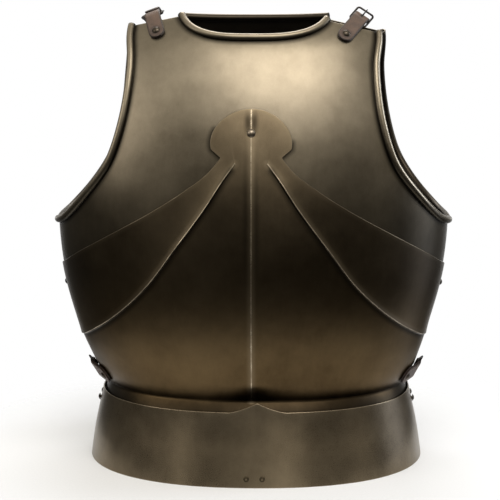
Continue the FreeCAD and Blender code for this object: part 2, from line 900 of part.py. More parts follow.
def strip(path, width, steps):
    """A single strap along a path of (point, across) pairs."""
    leather = Sheet(ply)

    def place(u, v):
        point, across = path(u)
        ahead = path(min(u + tip_probe, 1))[0] - path(max(u - tip_probe, 0))[0]
        out = ahead.cross(across)
        out.normalize()
        return point + across * (width * (v - 0.5)), out

    leather.patch(place, steps, 2, "lrbt")
    return leather.solid()


def in_frame(frame, points):
    """Points given as (X, Z) in a frame, with the frame's Y across."""
    across = frame.Rotation.multVec(Vector(0, 1, 0))
    return [(frame.multVec(Vector(x, 0, z)), across) for x, z in points]


def lying(frame, stages, stops):
    """Middle of a single strap that starts in a frame and runs through its stages."""
    points = []
    for run in stops:
        at = along_stages(stages, run).multVec(Vector(0, 0, strap_seat + ply / 2))
        points.append((at.x, at.z))
    return in_frame(frame, points)


parts = {}

# Plates
breastplate = upper_plate(
    front,
    0.0,
    breast_foot,
    neck_line(neck_height, neck_rise_left, neck_rise_right),
    (shoulder_angle, shoulder_angle),
    (shoulder_height_left, shoulder_height_right),
    (front_armhole_angles, front_armhole_shares),
)
backplate = upper_plate(
    back,
    backplate_out,
    waist_height,
    neck_line(back_neck_height, back_neck_rise, back_neck_rise),
    (back_shoulder_angle_left, back_shoulder_angle_right),
    (back_shoulder_height_left, back_shoulder_height_right),
    (back_armhole_angles, back_armhole_shares),
    waist_height - flange_drop,
)
plackart = plackart_solid()
fauld = band_solid(fauld_form, cusp_height)
culet = band_solid(culet_form, 0.0)

# Rivet that holds the finial to the breastplate
lift = plackart_out + sheet / 2


def crest_at(height):
    """The keel's outer line on the plackart."""
    return front_low.point(0, height, lift) + Vector(0, -keel(0, height), 0)


crest_point = crest_at(centre_rivet_height)
crest_way = crest_at(centre_rivet_height + probe) - crest_at(centre_rivet_height - probe)
crown_out = Vector(1, 0, 0).cross(crest_way)
crown_out.normalize()
crown_out = crown_out if crown_out.y < 0 else crown_out * -1
inside_point = front.point(0, centre_rivet_height, -sheet / 2)
centre_grip = (crest_point - inside_point).dot(crown_out) + seat_gap + centre_rivet_play
centre_frame = frame_at(crest_point + crown_out * seat_gap, Vector(1, 0, 0), crown_out)
centre_rivet = rivet(
    rivet_head, rivet_head_height, rivet_shank, centre_grip, rivet_tail, rivet_tail_height
)
parts["plackart_centre_rivet"] = placed(centre_rivet, centre_frame)
centre_hole = placed(drill(rivet_shank + hole_gap, 4 * centre_grip), centre_frame)
plackart = plackart.cut(centre_hole)
breastplate = breastplate.cut(centre_hole)

# Rivets that hold the plackart's sides to the breastplate
side_rivets = []
side_grip = plackart_out + sheet + 2 * seat_gap
for side in (-1, 1):
    angle = side * side_rivet_angle
    n = front.normal(angle, side_rivet_height)
    seat = front.point(angle, side_rivet_height, lift + seat_gap)
    frame = frame_at(seat, Vector(0, 1, 0).cross(n).cross(n) * -1, n)
    one = rivet(
        side_rivet_head, side_rivet_head_height, rivet_shank, side_grip, rivet_tail, rivet_tail_height
    )
    side_rivets.append(placed(one, frame))
    hole = placed(drill(rivet_shank + hole_gap, 2 * side_grip), frame)
    plackart = plackart.cut(hole)
    breastplate = breastplate.cut(hole)
parts["plackart_side_rivets"] = Part.makeCompound(side_rivets)

# Pivot rivets of the fauld and of the culet, level and square to the sides
for name, form, facing, stand, grip in (
    ("fauld", fauld_form, -1, fauld_pivot_stand, fauld_pivot_grip),
    ("culet", culet_form, 1, culet_pivot_stand, culet_pivot_grip),
):
    pivots = []
    for side in (-1, 1):
        width, depth = form.sizes(pivot_height)
        x = width * (1 - (pivot_depth / depth) ** section_power) ** (1 / section_power)
        x = form.middle(pivot_height) + side * (x + stand)
        seat = Vector(x, facing * pivot_depth, pivot_height)
        frame = frame_at(seat, Vector(0, 0, 1), Vector(side, 0, 0))
        one = rivet(pivot_head, pivot_head_height, rivet_shank, grip, rivet_tail, rivet_tail_height)
        pivots.append(placed(one, frame))
        hole = placed(drill(rivet_shank + hole_gap, 2 * grip), frame)
        if name == "fauld":
            fauld = fauld.cut(hole)
            plackart = plackart.cut(hole)
        else:
            culet = culet.cut(hole)
            backplate = backplate.cut(hole)
    parts[name + "_pivot_rivets"] = Part.makeCompound(pivots)

# Eyelets at the middle of the fauld's lower edge
eyelets = []
for side in (-1, 1):
    angle = side * math.degrees(math.atan2(eyelet_half_spacing, fauld_form.depth(eyelet_height)))
    n = fauld_form.normal(0, eyelet_height)
    seat = fauld_form.radial(angle, eyelet_height) + n * (sheet / 2 + seat_gap)
    frame = frame_at(seat, Vector(0, 0, 1).cross(n), n)
    deep = -sheet - 2 * seat_gap
    slope = (eyelet_rim + eyelet_bore) / 2
    ring = turned(
        [
            (eyelet_bore, eyelet_lip / 2),
            (slope, eyelet_lip, "arc"),
            (eyelet_rim, 0.0),
            (eyelet_barrel, 0.0),
            (eyelet_barrel, deep),
            (eyelet_rim, deep),
            (slope, deep - eyelet_lip, "arc"),
            (eyelet_bore, deep - eyelet_lip / 2),
        ]
    )
    eyelets.append(placed(ring, frame))
    fauld = fauld.cut(placed(drill(eyelet_barrel + hole_gap, eyelet_rim), frame))
parts["fauld_eyelets"] = Part.makeCompound(eyelets)

# Folded straps with their buckles on the front
left_way = slide(front, -shoulder_left_angle, shoulder_left_height, uphill(-1, shoulder_left_tilt))
right_way = slide(front, shoulder_right_angle, shoulder_right_height, uphill(1, shoulder_right_tilt))
left_seat = front.seat(-shoulder_left_angle, shoulder_left_height, sheet / 2, left_way)
right_seat = front.seat(shoulder_right_angle, shoulder_right_height, sheet / 2, right_way)
side_out = plackart_out + sheet / 2
side_strap_stages = tuple(zip(side_strap_runs, side_strap_bends))
folded = {
    "shoulder_left": (
        left_seat,
        shoulder_strap_width,
        tuple(zip(shoulder_left_runs, shoulder_left_bends)),
    ),
    "shoulder_right": (
        right_seat,
        shoulder_strap_width,
        tuple(zip(shoulder_right_runs, shoulder_right_bends)),
    ),
    "side_left": (
        front_low.seat(-side_strap_angle, side_strap_height, side_out),
        side_strap_width,
        side_strap_stages,
    ),
    "side_right": (
        front_low.seat(side_strap_angle, side_strap_height, side_out),
        side_strap_width,
        side_strap_stages,
    ),
}
raised = Placement(Vector(0, 0, strap_seat), Rotation())
bars = {}
for name, (seat, width, stages) in folded.items():
    leather_frame = seat.multiply(raised)
    bars[name] = leather_frame.multiply(bar_place(stages))
    parts[name + "_strap"] = placed(folded_strap(width, stages), leather_frame)
    parts[name + "_buckle"] = placed(buckle_frame(width), bars[name])
    parts[name + "_tongue"] = placed(buckle_tongue(), bars[name])
    parts[name + "_rivet"] = placed(strap_rivet(strap_thickness, sheet), seat)
    hole = placed(drill(strap_rivet_shank + hole_gap, 2 * strap_thickness), seat)
    if name.startswith("shoulder"):
        breastplate = breastplate.cut(hole)
    else:
        plackart = plackart.cut(hole)

# Billets on the back: the single straps that go into the buckles
billet_stages = tuple(zip(billet_runs, billet_bends))
outer_face = backplate_out + sheet / 2
billet_hole = drill(billet_hole_radius, 2 * strap_thickness)
parts["backplate"] = backplate


def fasten(name, seat, leather):
    """Rivets a billet to the backplate."""
    hole = placed(drill(strap_rivet_shank + hole_gap, 2 * strap_thickness), seat)
    parts[name + "_billet"] = leather.cut(hole)
    parts[name + "_billet_rivet"] = placed(strap_rivet(ply, sheet), seat)
    parts["backplate"] = parts["backplate"].cut(hole)


# Left shoulder: the billet runs forward into its buckle, under the far rail, over the bar
bar = bars["shoulder_left"]
bar_way = bar.Rotation.multVec(Vector(1, 0, 0))
seat = back.seat(-billet_angle, billet_height_left, outer_face, bar_way * -1)
mid = ply / 2
over_loop = loop_radius + mid + billet_gap
on_strap = strap_over_bar + strap_thickness + mid + billet_gap
under_rail = -frame_half_thickness - mid - billet_dip
turn_x = frame_half_length - frame_rod + billet_dip
turn_z = under_rail + billet_turn
reach = math.hypot(turn_x, turn_z)
lean_down = math.atan2(turn_z, turn_x) - math.asin((billet_turn + over_loop) / reach)
slab_down = math.atan2(on_strap - over_loop, loop_start)
buckled = []
for k in range(rail_steps + 1):
    buckled.append((turn_x + rail_lead * (rail_steps - k) / rail_steps, under_rail))
for k in range(1, arc_steps + 1):
    turn = lean_down * k / arc_steps
    buckled.append((turn_x + billet_turn * math.sin(turn), turn_z - billet_turn * math.cos(turn)))
for k in range(arc_steps + 1):
    turn = lean_down + (slab_down - lean_down) * k / arc_steps
    buckled.append((-over_loop * math.sin(turn), over_loop * math.cos(turn)))
level_off = loop_start + billet_turn / 2
for k in range(1, dip_steps):
    share = k / dip_steps
    buckled.append((-loop_start * share, over_loop + (on_strap + billet_gap - over_loop) * share))
buckled += [(-level_off, on_strap + billet_gap), (-(level_off + billet_end) / 2, on_strap)]
buckled += [(-billet_end, on_strap)]
total = sum(length for length, bend in billet_stages)
stops = [-strap_tail, 0.0] + [total * step / lie_steps for step in range(1, lie_steps + 1)]
lie = lying(seat, billet_stages, stops)
near = in_frame(bar, buckled)
near = [(point, across * -1) for point, across in near]
start, start_across = lie[-1]
end, end_across = near[0]
start_way = start - lie[-2][0]
start_way.normalize()
span = (end - start).Length
bridge = []
for step in range(1, bridge_steps):
    t = step / bridge_steps
    point = start * (1 + 2 * t) * (1 - t) ** 2 + end * (3 - 2 * t) * t * t
    point += start_way * (span * t * (1 - t) ** 2) + bar_way * (span * t * t * (1 - t))
    bridge.append((point, start_across * (1 - t) + end_across * t))
leather = strip(smooth_path(lie + bridge + near), shoulder_strap_width, buckled_strap_steps)
prong_room = Part.makeBox(
    over_loop + turn_x,
    2 * billet_hole_radius,
    tongue_thickness + 4 * billet_gap,
    Vector(0, -billet_hole_radius, frame_half_thickness + tongue_rest - 2 * billet_gap),
)
spare_hole = Placement(Vector(-loop_start - billet_hole_radius, 0, on_strap), Rotation())
leather = leather.cut(placed(prong_room, bar))
leather = leather.cut(placed(billet_hole, bar.multiply(spare_hole)))
leather = leather.cut(placed(round_tip(shoulder_strap_width, -billet_end, 1), bar))
leather = leather.cut(placed(round_tip(shoulder_strap_width, -strap_tail, 1), seat))
fasten("shoulder_left", seat, leather)

# Right shoulder: the billet hangs free
seat = back.seat(billet_angle, billet_height_right, outer_face, Vector(0, -1, 0))
stages = billet_stages + ((billet_free_run, billet_free_bend),)
total = sum(length for length, bend in stages)
stops = [-strap_tail, 0.0] + [total * step / strap_steps for step in range(1, strap_steps + 1)]
leather = strip(smooth_path(lying(seat, stages, stops)), shoulder_strap_width, 2 * strap_steps)
for step in range(billet_holes):
    run = total - billet_hole_spacing * (step + 1)
    leather = leather.cut(placed(billet_hole, seat.multiply(along_stages(stages, run))))
end_frame = seat.multiply(along_stages(stages, total))
leather = leather.cut(placed(round_tip(shoulder_strap_width, 0.0, -1), end_frame))
leather = leather.cut(placed(round_tip(shoulder_strap_width, -strap_tail, 1), seat))
fasten("shoulder_right", seat, leather)

# Sides: each billet lies on the backplate's side and ends under the far rail of its buckle
for name, side in (("side_left", -1), ("side_right", 1)):
    seat = back.seat(side * side_billet_angle, side_strap_height, outer_face)
    spots = []
    turns = side_billet_turns
    for form, angle, out in (
        [(back, angle, outer_face + strap_seat + mid) for angle in turns[:-1]]
        + [(front_low, turns[-1], side_out + 2 * strap_seat + mid)]
    ):
        up = form.radial(side * angle, side_strap_height + probe)
        up -= form.radial(side * angle, side_strap_height - probe)
        up.normalize()
        spots.append((form.point(side * angle, side_strap_height, out), up * side))
    leather = strip(smooth_path(spots), side_strap_width, strap_steps)
    tip = seat.inverse().multVec(spots[-1][0])
    for step in range(billet_holes):
        run = tip.x - billet_hole_spacing * (step + 1)
        place = Placement(Vector(run, 0, tip.z), Rotation())
        leather = leather.cut(placed(billet_hole, seat.multiply(place)))
    leather = leather.cut(placed(round_tip(side_strap_width, tip.x, -1), seat))
    leather = leather.cut(placed(round_tip(side_strap_width, -strap_tail, 1), seat))
    fasten(name, seat, leather)

parts["breastplate"] = breastplate
parts["plackart"] = plackart
parts["fauld"] = fauld
parts["culet"] = culet

# The origin goes under the middle of the whole
for name in parts:
    parts[name].translate(Vector(0, origin_shift, 0))

os.makedirs("parts", exist_ok=True)
for name, shape in parts.items():
    shape.exportStep("parts/" + name + ".step")
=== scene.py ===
import math

import bmesh
import bpy
import numpy as np
from mathutils import Matrix, Vector, kdtree


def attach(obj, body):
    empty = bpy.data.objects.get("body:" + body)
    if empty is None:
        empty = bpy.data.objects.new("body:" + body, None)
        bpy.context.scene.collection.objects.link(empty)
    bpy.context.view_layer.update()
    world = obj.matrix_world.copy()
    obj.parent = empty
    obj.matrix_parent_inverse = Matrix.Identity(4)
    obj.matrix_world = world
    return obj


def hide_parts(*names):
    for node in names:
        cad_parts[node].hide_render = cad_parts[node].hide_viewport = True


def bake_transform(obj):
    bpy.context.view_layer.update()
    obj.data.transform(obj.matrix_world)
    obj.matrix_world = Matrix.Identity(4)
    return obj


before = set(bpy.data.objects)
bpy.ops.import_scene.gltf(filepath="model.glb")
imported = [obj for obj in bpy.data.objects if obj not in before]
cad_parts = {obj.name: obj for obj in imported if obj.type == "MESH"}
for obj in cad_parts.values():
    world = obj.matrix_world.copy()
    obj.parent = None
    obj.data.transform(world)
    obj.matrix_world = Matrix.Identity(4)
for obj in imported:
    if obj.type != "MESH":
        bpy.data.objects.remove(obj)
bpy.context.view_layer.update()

# Shapes are worked out in millimetres and degrees, as in the part, and made in metres.
# Angles go round the body from the middle of the front (or of the back) towards the side.
MM = 0.001
origin_shift = 7.0

sheet = 1.2
plackart_out = 1.6
backplate_out = 0.8
waist_height = 79.0
side_widths = (
    (waist_height, 152.5),
    (92.0, 161.5),
    (115.0, 172.0),
    (150.0, 184.0),
    (198.0, 196.0),
    (250.0, 201.0),
    (300.0, 200.0),
    (350.0, 191.0),
    (400.0, 176.0),
    (460.0, 156.0),
)
front_depths = (
    (waist_height, 118.0),
    (110.0, 127.0),
    (150.0, 138.0),
    (200.0, 147.0),
    (250.0, 150.0),
    (300.0, 147.0),
    (350.0, 137.0),
    (400.0, 118.0),
    (430.0, 101.0),
    (460.0, 72.0),
)
back_depths = (
    (waist_height, 108.0),
    (110.0, 115.0),
    (150.0, 126.0),
    (200.0, 136.0),
    (250.0, 141.0),
    (300.0, 141.0),
    (350.0, 137.0),
    (400.0, 124.0),
    (430.0, 110.0),
    (465.0, 80.0),
)
course_radius = side_widths[3][1]
section_power = 2.25
side_edge_angle = 88.9
normal_ease = 40.0
# Half the step, in degrees and millimetres, over which a slope is measured
probe = 0.25
waist_lean = 3.0
lean_top = 150.0
ridge_half_angle = 25.0
flange_drop = 29.0
breast_foot = 150.0
neck_height = 428.0
neck_rise_left = 24.0
neck_rise_right = 19.5
back_neck_height = 450.5
back_neck_rise = 1.5
neck_angle = 44.5
neck_foot_angle = 10.0
neck_power = 3.2
shoulder_angle = 59.6
shoulder_foot_angle = 20.0
shoulder_heights = (444.0, 437.5)
front_armhole = ((52.0, 0.85), (47.2, 0.554), (49.5, 0.354), (57.5, 0.188), (68.0, 0.065))
armpit_height = 241.5
side_line_share = 0.35
back_shoulder_angles = (61.0, 63.5)
back_shoulder_heights = (443.5, 440.0)
back_armhole = ((57.0, 0.82), (54.5, 0.544), (58.0, 0.309), (66.0, 0.148), (76.0, 0.048))
roll_radius = 3.8
roll_bore = 2.5
roll_lean = 1.2
roll_steps = 29
roll_crest_out = 1.2
roll_crest_drop = 0.4
# The sine of the turn where a roll's painted shade begins, and how far on it is all dark
roll_dark_from = 0.45
roll_dark_reach = 0.5
finial_notch = (11.2, 319.2)
finial_angle = 15.3
finial_shoulder_height = 334.0
finial_tip_height = 364.5
finial_turns = (0.0, 30.0, 45.0, 103.0)
finial_shade_left = 68.0
finial_shade_right = 92.0
plackart_edge = ((15.4, 305.5), (24.0, 287.0), (34.5, 267.3), (44.0, 251.3), (59.3, 227.5), (72.0, 211.0))
plackart_side_height = 199.0
crease_start = (6.0, 314.0)
crease_line = ((10.0, 299.0), (16.0, 273.5), (26.0, 235.5), (37.0, 196.0), (54.0, 157.5), (71.0, 136.5))
crease_side_height = 128.0
crease_height = 3.4
crease_start_height = 0.2
crease_flare = 9.0
crease_drop = 1.6
crease_foot_angle = 3.0
keel_height = 5.0
keel_half_width = 26.0
keel_fade_top = 95.0
keel_fade_waist = 22.0
band_top = 71.0
band_widths = ((0.0, 173.8), (30.0, 169.3), (57.5, 163.4), (72.0, 160.2))
fauld_depths = ((0.0, 148.0), (25.0, 142.0), (47.0, 137.2), (62.0, 135.4), (84.0, 135.0))
culet_depths = ((0.0, 134.0), (25.0, 129.0), (47.0, 125.2), (62.0, 123.8), (84.0, 123.4))
cusp_height = 9.5
cusp_side = 2.9
cusp_half_angle = 12.0
cusp_power = 1.45
ply = 1.6
strap_seat = 0.35
shoulder_strap_width = 15.0
side_strap_width = 19.0
strap_tail = 8.0
loop_run = 11.0
loop_start = 6.0
bar_radius = 1.0
frame_rod = 2.2
frame_half_thickness = 0.9
frame_half_length = 10.5
frame_side_play = 0.35
frame_corner = 3.5
strap_over_bar = 1.25
loop_middle = 1.95
# The fold of a strap round its bar: turns where it leaves the straight plies, and how it closes
loop_turn_low = 118.0
loop_turn_high = 78.0
loop_close = ((-2.2, 2.35), (-4.2, 3.1))
ply_gap = 0.04
# Leather is made a little narrower and thinner than the part's plain solids
strap_trim = 0.1
ply_share = 0.94
edge_wave = 0.108
edge_wave_rate = 0.9
leather_cup = 0.12
tip_least = 0.03
tip_taper = 1.2
strip_columns = 25
strip_crowding = 0.8
slot_reach = 4.6
slot_half_width = 1.3
hole_radius = 1.3
hole_pitch = 13.0
head_ring = 3.9
tongue_bore = 1.15
tongue_ring = 1.9


def through(pairs):
    """A smooth line through (position, value) pairs, for arrays too."""
    at = np.array([p[0] for p in pairs], float)
    value = np.array([p[1] for p in pairs], float)
    gap = np.diff(at)
    rate = np.diff(value) / gap
    between = (rate[:-1] * gap[1:] + rate[1:] * gap[:-1]) / (gap[:-1] + gap[1:])
    slope = np.concatenate([rate[:1], between, rate[-1:]])

    def read(x):
        x = np.asarray(x, float)
        i = np.clip(np.searchsorted(at, x, side="right") - 1, 0, len(at) - 2)
        span = at[i + 1] - at[i]
        t = (x - at[i]) / span
        u = 1 - t
        inside = value[i] * (1 + 2 * t) * u * u + slope[i] * span * t * u * u
        inside = inside + value[i + 1] * (3 - 2 * t) * t * t - slope[i + 1] * span * t * t * u
        low = value[0] + slope[0] * (x - at[0])
        high = value[-1] + slope[-1] * (x - at[-1])
        return np.where(x <= at[0], low, np.where(x >= at[-1], high, inside))

    return read


def course(points):
    """A smooth course through (angle, height) pairs, by its share of the way."""
    degree = course_radius * math.pi / 180
    way = [0.0]
    for a, b in zip(points, points[1:]):
        way.append(way[-1] + math.hypot((b[0] - a[0]) * degree, b[1] - a[1]))
    angles = through([(w, p[0]) for w, p in zip(way, points)])
    heights = through([(w, p[1]) for w, p in zip(way, points)])
    return lambda share: (angles(np.asarray(share) * way[-1]), heights(np.asarray(share) * way[-1]))


def ease(x):
    t = np.clip(x, 0.0, 1.0)
    return t * t * (3 - 2 * t)


def unit(v):
    return v / np.maximum(np.linalg.norm(v, axis=-1, keepdims=True), 1e-12)


def mix(a, b, share):
    return tuple(p + (q - p) * share for p, q in zip(a, b))


class Form:
    """The curved surface that a sheet follows: facing -1 is the front, +1 the back."""

    def __init__(self, widths, depths, facing, flange=None):
        self.width = through(widths)
        self.depth = through(depths)
        self.facing = facing
        self.flange = flange

    def middle(self, height):
        return waist_lean * ease((lean_top - height) / (lean_top - waist_height))

    def sizes(self, height):
        width, depth = self.width(height), self.depth(height)
        if self.flange is None:
            return width, depth
        share = np.clip((waist_height - height) / flange_drop, 0.0, 1.0)
        out = 1 - (1 - share) ** 2
        low_width = self.width(waist_height) + self.flange[0] * out
        low_depth = self.depth(waist_height) + self.flange[1] * out
        above = height >= waist_height
        return np.where(above, width, low_width), np.where(above, depth, low_depth)

    def radial(self, angle, height):
        across, along = self.across(angle, height)
        lean = self.middle(height) * (ease(np.abs(angle) / ridge_half_angle) if self.flange else 1)
        return np.stack(np.broadcast_arrays(lean + across, self.facing * along, height), -1)

    def across(self, angle, height):
        a = np.radians(angle)
        width, depth = self.sizes(height)
        reach = (np.abs(np.sin(a)) / width) ** section_power + (np.abs(np.cos(a)) / depth) ** section_power
        r = reach ** (-1 / section_power)
        return r * np.sin(a), r * np.cos(a)

    def angle_at(self, across, height):
        width, depth = self.sizes(height)
        share = np.minimum(np.abs(across) / width, 1.0)
        along = depth * (1 - share**section_power) ** (1 / section_power)
        return np.copysign(np.degrees(np.arctan2(np.abs(across), along)), across)

    def normal(self, angle, height, eased=True):
        angle, height = np.broadcast_arrays(np.asarray(angle, float), np.asarray(height, float))
        round_it = self.radial(angle + probe, height) - self.radial(angle - probe, height)
        up = self.radial(angle, height + probe) - self.radial(angle, height - probe)
        if self.flange is not None and eased:
            share = ease((height - waist_height) / normal_ease)
            up[..., 0] *= share
            up[..., 1] *= share
        n = unit(np.cross(round_it, up))
        outward = self.radial(angle, height)
        outward[..., 0] -= self.middle(height)
        outward[..., 2] = 0
        return n * np.sign((n * outward).sum(-1, keepdims=True))

    def point(self, angle, height, out=0.0):
        return self.radial(angle, height) + self.normal(angle, height) * out

    def seat(self, angle, height, out, along=None):
        n = self.normal(angle, height, False)
        if along is None:
            along = self.radial(angle + math.copysign(probe, angle), height) - self.radial(angle, height)
        flat = unit(along - n * (along * n).sum())
        return frame_at(self.point(angle, height, out), flat, n)


front = Form(side_widths, front_depths, -1)
front_low = Form(side_widths, front_depths, -1, (7.0, 13.0))
back = Form(side_widths, back_depths, 1, (7.0, 12.0))
fauld_form = Form(band_widths, fauld_depths, -1)
culet_form = Form(band_widths, culet_depths, 1)


def frame_at(origin, along, out):
    """Matrix with X along and Z out."""
    x = Vector(along).normalized()
    z = Vector(out).normalized()
    y = z.cross(x)
    made = Matrix((x, y, z)).transposed().to_4x4()
    made.translation = Vector(origin)
    return made


# Points further than this from an edge or a crease are all the same to the materials
far_limit = 60.0


class Mesh:
    """Points and faces of one piece in millimetres, with what its material reads."""

    def __init__(self):
        self.points = []
        self.faces = []
        self.inside = []
        self.count = 0
        self.edge_lines = []
        self.crest_lines = []
        self.painted_shade_lines = []

    def add(self, points, inside=0.0):
        points = np.asarray(points, float).reshape(-1, 3)
        first = self.count
        self.points.append(points)
        self.inside.append(np.full(len(points), inside))
        self.count += len(points)
        return first

    def grid(self, points, inside=0.0, closed=False):
        """Quads between rows and columns of points."""
        rows, columns = points.shape[:2]
        first = self.add(points, inside)
        for i in range(rows - (0 if closed else 1)):
            k = (i + 1) % rows
            for j in range(columns - 1):
                a, b = first + i * columns + j, first + k * columns + j
                self.faces.append((a, b, b + 1, a + 1))
        return first

    def leaf(self, middle, normal, half, keep=None, bulge=0.8, inside=1.0):
        """Both sides of a sheet and its rounded free edges."""
        rows, columns = middle.shape[:2]
        kept = np.ones((rows - 1, columns - 1), bool) if keep is None else keep
        outer = self.add(middle + normal * half)
        inner = self.add(middle - normal * half, inside)
        count = {}
        for i in range(rows - 1):
            for j in range(columns - 1):
                if not kept[i, j]:
                    continue
                a = i * columns + j
                ring = (a, a + columns, a + columns + 1, a + 1)
                self.faces.append(tuple(outer + k for k in ring))
                self.faces.append(tuple(inner + k for k in reversed(ring)))
                for p, q in zip(ring, ring[1:] + ring[:1]):
                    count[(p, q)] = (i, j)
        border = [(p, q, face) for (p, q), face in count.items() if (q, p) not in count]
        flat = middle.reshape(-1, 3)
        away = {}
        for p, q, (i, j) in border:
            centre = (middle[i, j] + middle[i + 1, j] + middle[i, j + 1] + middle[i + 1, j + 1]) / 4
            along = flat[q] - flat[p]
            out = (flat[p] + flat[q]) / 2 - centre
            out = out - along * (out @ along) / max(along @ along, 1e-12)
            out = out / max(np.linalg.norm(out), 1e-12)
            away[p] = away.get(p, 0) + out
            away[q] = away.get(q, 0) + out
        order = list(away)
        where = {k: n for n, k in enumerate(order)}
        rim = unit(np.array([away[k] for k in order]))
        first = self.add(flat[order] + rim * half * bulge)
        for p, q, face in border:
            a, b = first + where[p], first + where[q]
            self.faces.append((outer + q, outer + p, a, b))
            self.faces.append((b, a, inner + p, inner + q))
        return border, flat

    def piece(self, name, material, weld=0.02, sharp=None):
        """The mesh object in metres. Attributes hold the distances to edges, creases and painted shade lines.
        """
        points = np.concatenate(self.points)
        inside = np.concatenate(self.inside)
        mesh = bpy.data.meshes.new(name)
        place = points + np.array([0.0, origin_shift, 0.0])
        mesh.from_pydata((place * MM).tolist(), [], self.faces)

        def note(label, values):
            data = mesh.attributes.new(label, "FLOAT", "POINT").data
            data.foreach_set("value", values.astype(np.float32))

        lines_of = {"edge": self.edge_lines, "crest": self.crest_lines, "painted_shade": self.painted_shade_lines}
        for label, lines in lines_of.items():
            far = np.full(len(points), far_limit)
            if lines:
                spots = np.concatenate(lines)
                tree = kdtree.KDTree(len(spots))
                for k, p in enumerate(spots):
                    tree.insert(p, k)
                tree.balance()
                far = np.array([min(tree.find(p)[2], far_limit) for p in points])
            note(label, far)
        note("inside", inside)
        bm = bmesh.new()
        bm.from_mesh(mesh)
        bmesh.ops.remove_doubles(bm, verts=bm.verts, dist=weld * MM)
        bmesh.ops.recalc_face_normals(bm, faces=bm.faces)
        bm.to_mesh(mesh)
        bm.free()
        mesh.polygons.foreach_set("use_smooth", [True] * len(mesh.polygons))
        if sharp:
            mesh.set_sharp_from_angle(angle=math.radians(sharp))
        mesh.materials.append(material)
        made = bpy.data.objects.new(name, mesh)
        bpy.context.scene.collection.objects.link(made)
        return made


def spread(steps, low=False, high=False, fine=0.006):
    """Shares from 0 to 1, with a close pair at the free ends."""
    shares = list(np.linspace(0, 1, steps + 1))
    if low:
        shares[1:1] = [fine]
    if high:
        shares[-1:-1] = [1 - fine]
    return np.array(shares)


def dense(line, step=0.5):
    """A polyline with points no further apart than a step."""
    line = np.asarray(line, float)
    made = []
    for a, b in zip(line, line[1:]):
        n = max(int(np.linalg.norm(b - a) / step), 1)
        made.append(a + (b - a) * (np.arange(n) / n)[:, None])
    made.append(line[-1:])
    return np.concatenate(made)


# Plates


def neck_line(height, rise_left, rise_right):
    def read(share):
        share = np.asarray(share, float)
        rise = np.where(share < 0, rise_left, rise_right)
        return neck_angle * share, height + rise * np.abs(share) ** neck_power

    return read


def roll(mesh, middle, normal, below):
    """The hollow roll along a line of points: middle of the sheet, its normal, and a point below."""
    far = math.sqrt(roll_radius**2 - (sheet / 2) ** 2)
    up_at = math.atan2(sheet / 2 - roll_lean, far)
    down_at = math.atan2(-sheet / 2 - roll_lean, far) + 2 * math.pi
    along = np.gradient(middle, axis=0)
    out = unit(normal)
    along = unit(along - out * (along * out).sum(-1, keepdims=True))
    away = np.cross(along, out)
    away = away * np.sign((away * (middle - below)).sum(-1, keepdims=True))
    centre = middle + away * far + out * roll_lean
    shares = np.linspace(0, 1, roll_steps)
    up_reach = math.hypot(far, sheet / 2 - roll_lean)
    down_reach = math.hypot(far, sheet / 2 + roll_lean)
    turn = up_at + (down_at - up_at) * shares
    reach = up_reach + (down_reach - up_reach) * shares
    cos, sin = np.cos(turn)[None, :, None], np.sin(turn)[None, :, None]
    ring = away[:, None] * -cos + out[:, None] * sin
    shell = centre[:, None] + ring * reach[None, :, None]
    bore = centre[:, None] + ring * roll_bore
    rows, columns = shell.shape[:2]
    # The half of the roll that faces the body is as dark as the plate's inside: painted shade
    inward_shade = np.clip((roll_dark_from - np.sin(turn)) / roll_dark_reach, 0, 1)
    first = mesh.grid(shell, np.tile(inward_shade, rows))
    hollow = mesh.grid(bore, 1.0)
    for i in (0, rows - 1):
        a, b = first + i * columns, hollow + i * columns
        for j in range(columns - 1):
            mesh.faces.append((a + j, a + j + 1, b + j + 1, b + j))
        mesh.faces.append((a + columns - 1, a, b, b + columns - 1))
    for i in range(rows - 1):
        a, b = hollow + i * columns, hollow + (i + 1) * columns
        mesh.faces.append((a + columns - 1, b + columns - 1, b, a))
    mesh.crest_lines.append(dense(centre + away * roll_crest_out + out * (roll_radius - roll_crest_drop)))
    # A painted shade line where the roll meets the plate
    mesh.painted_shade_lines.append(dense(middle + out * sheet / 2))


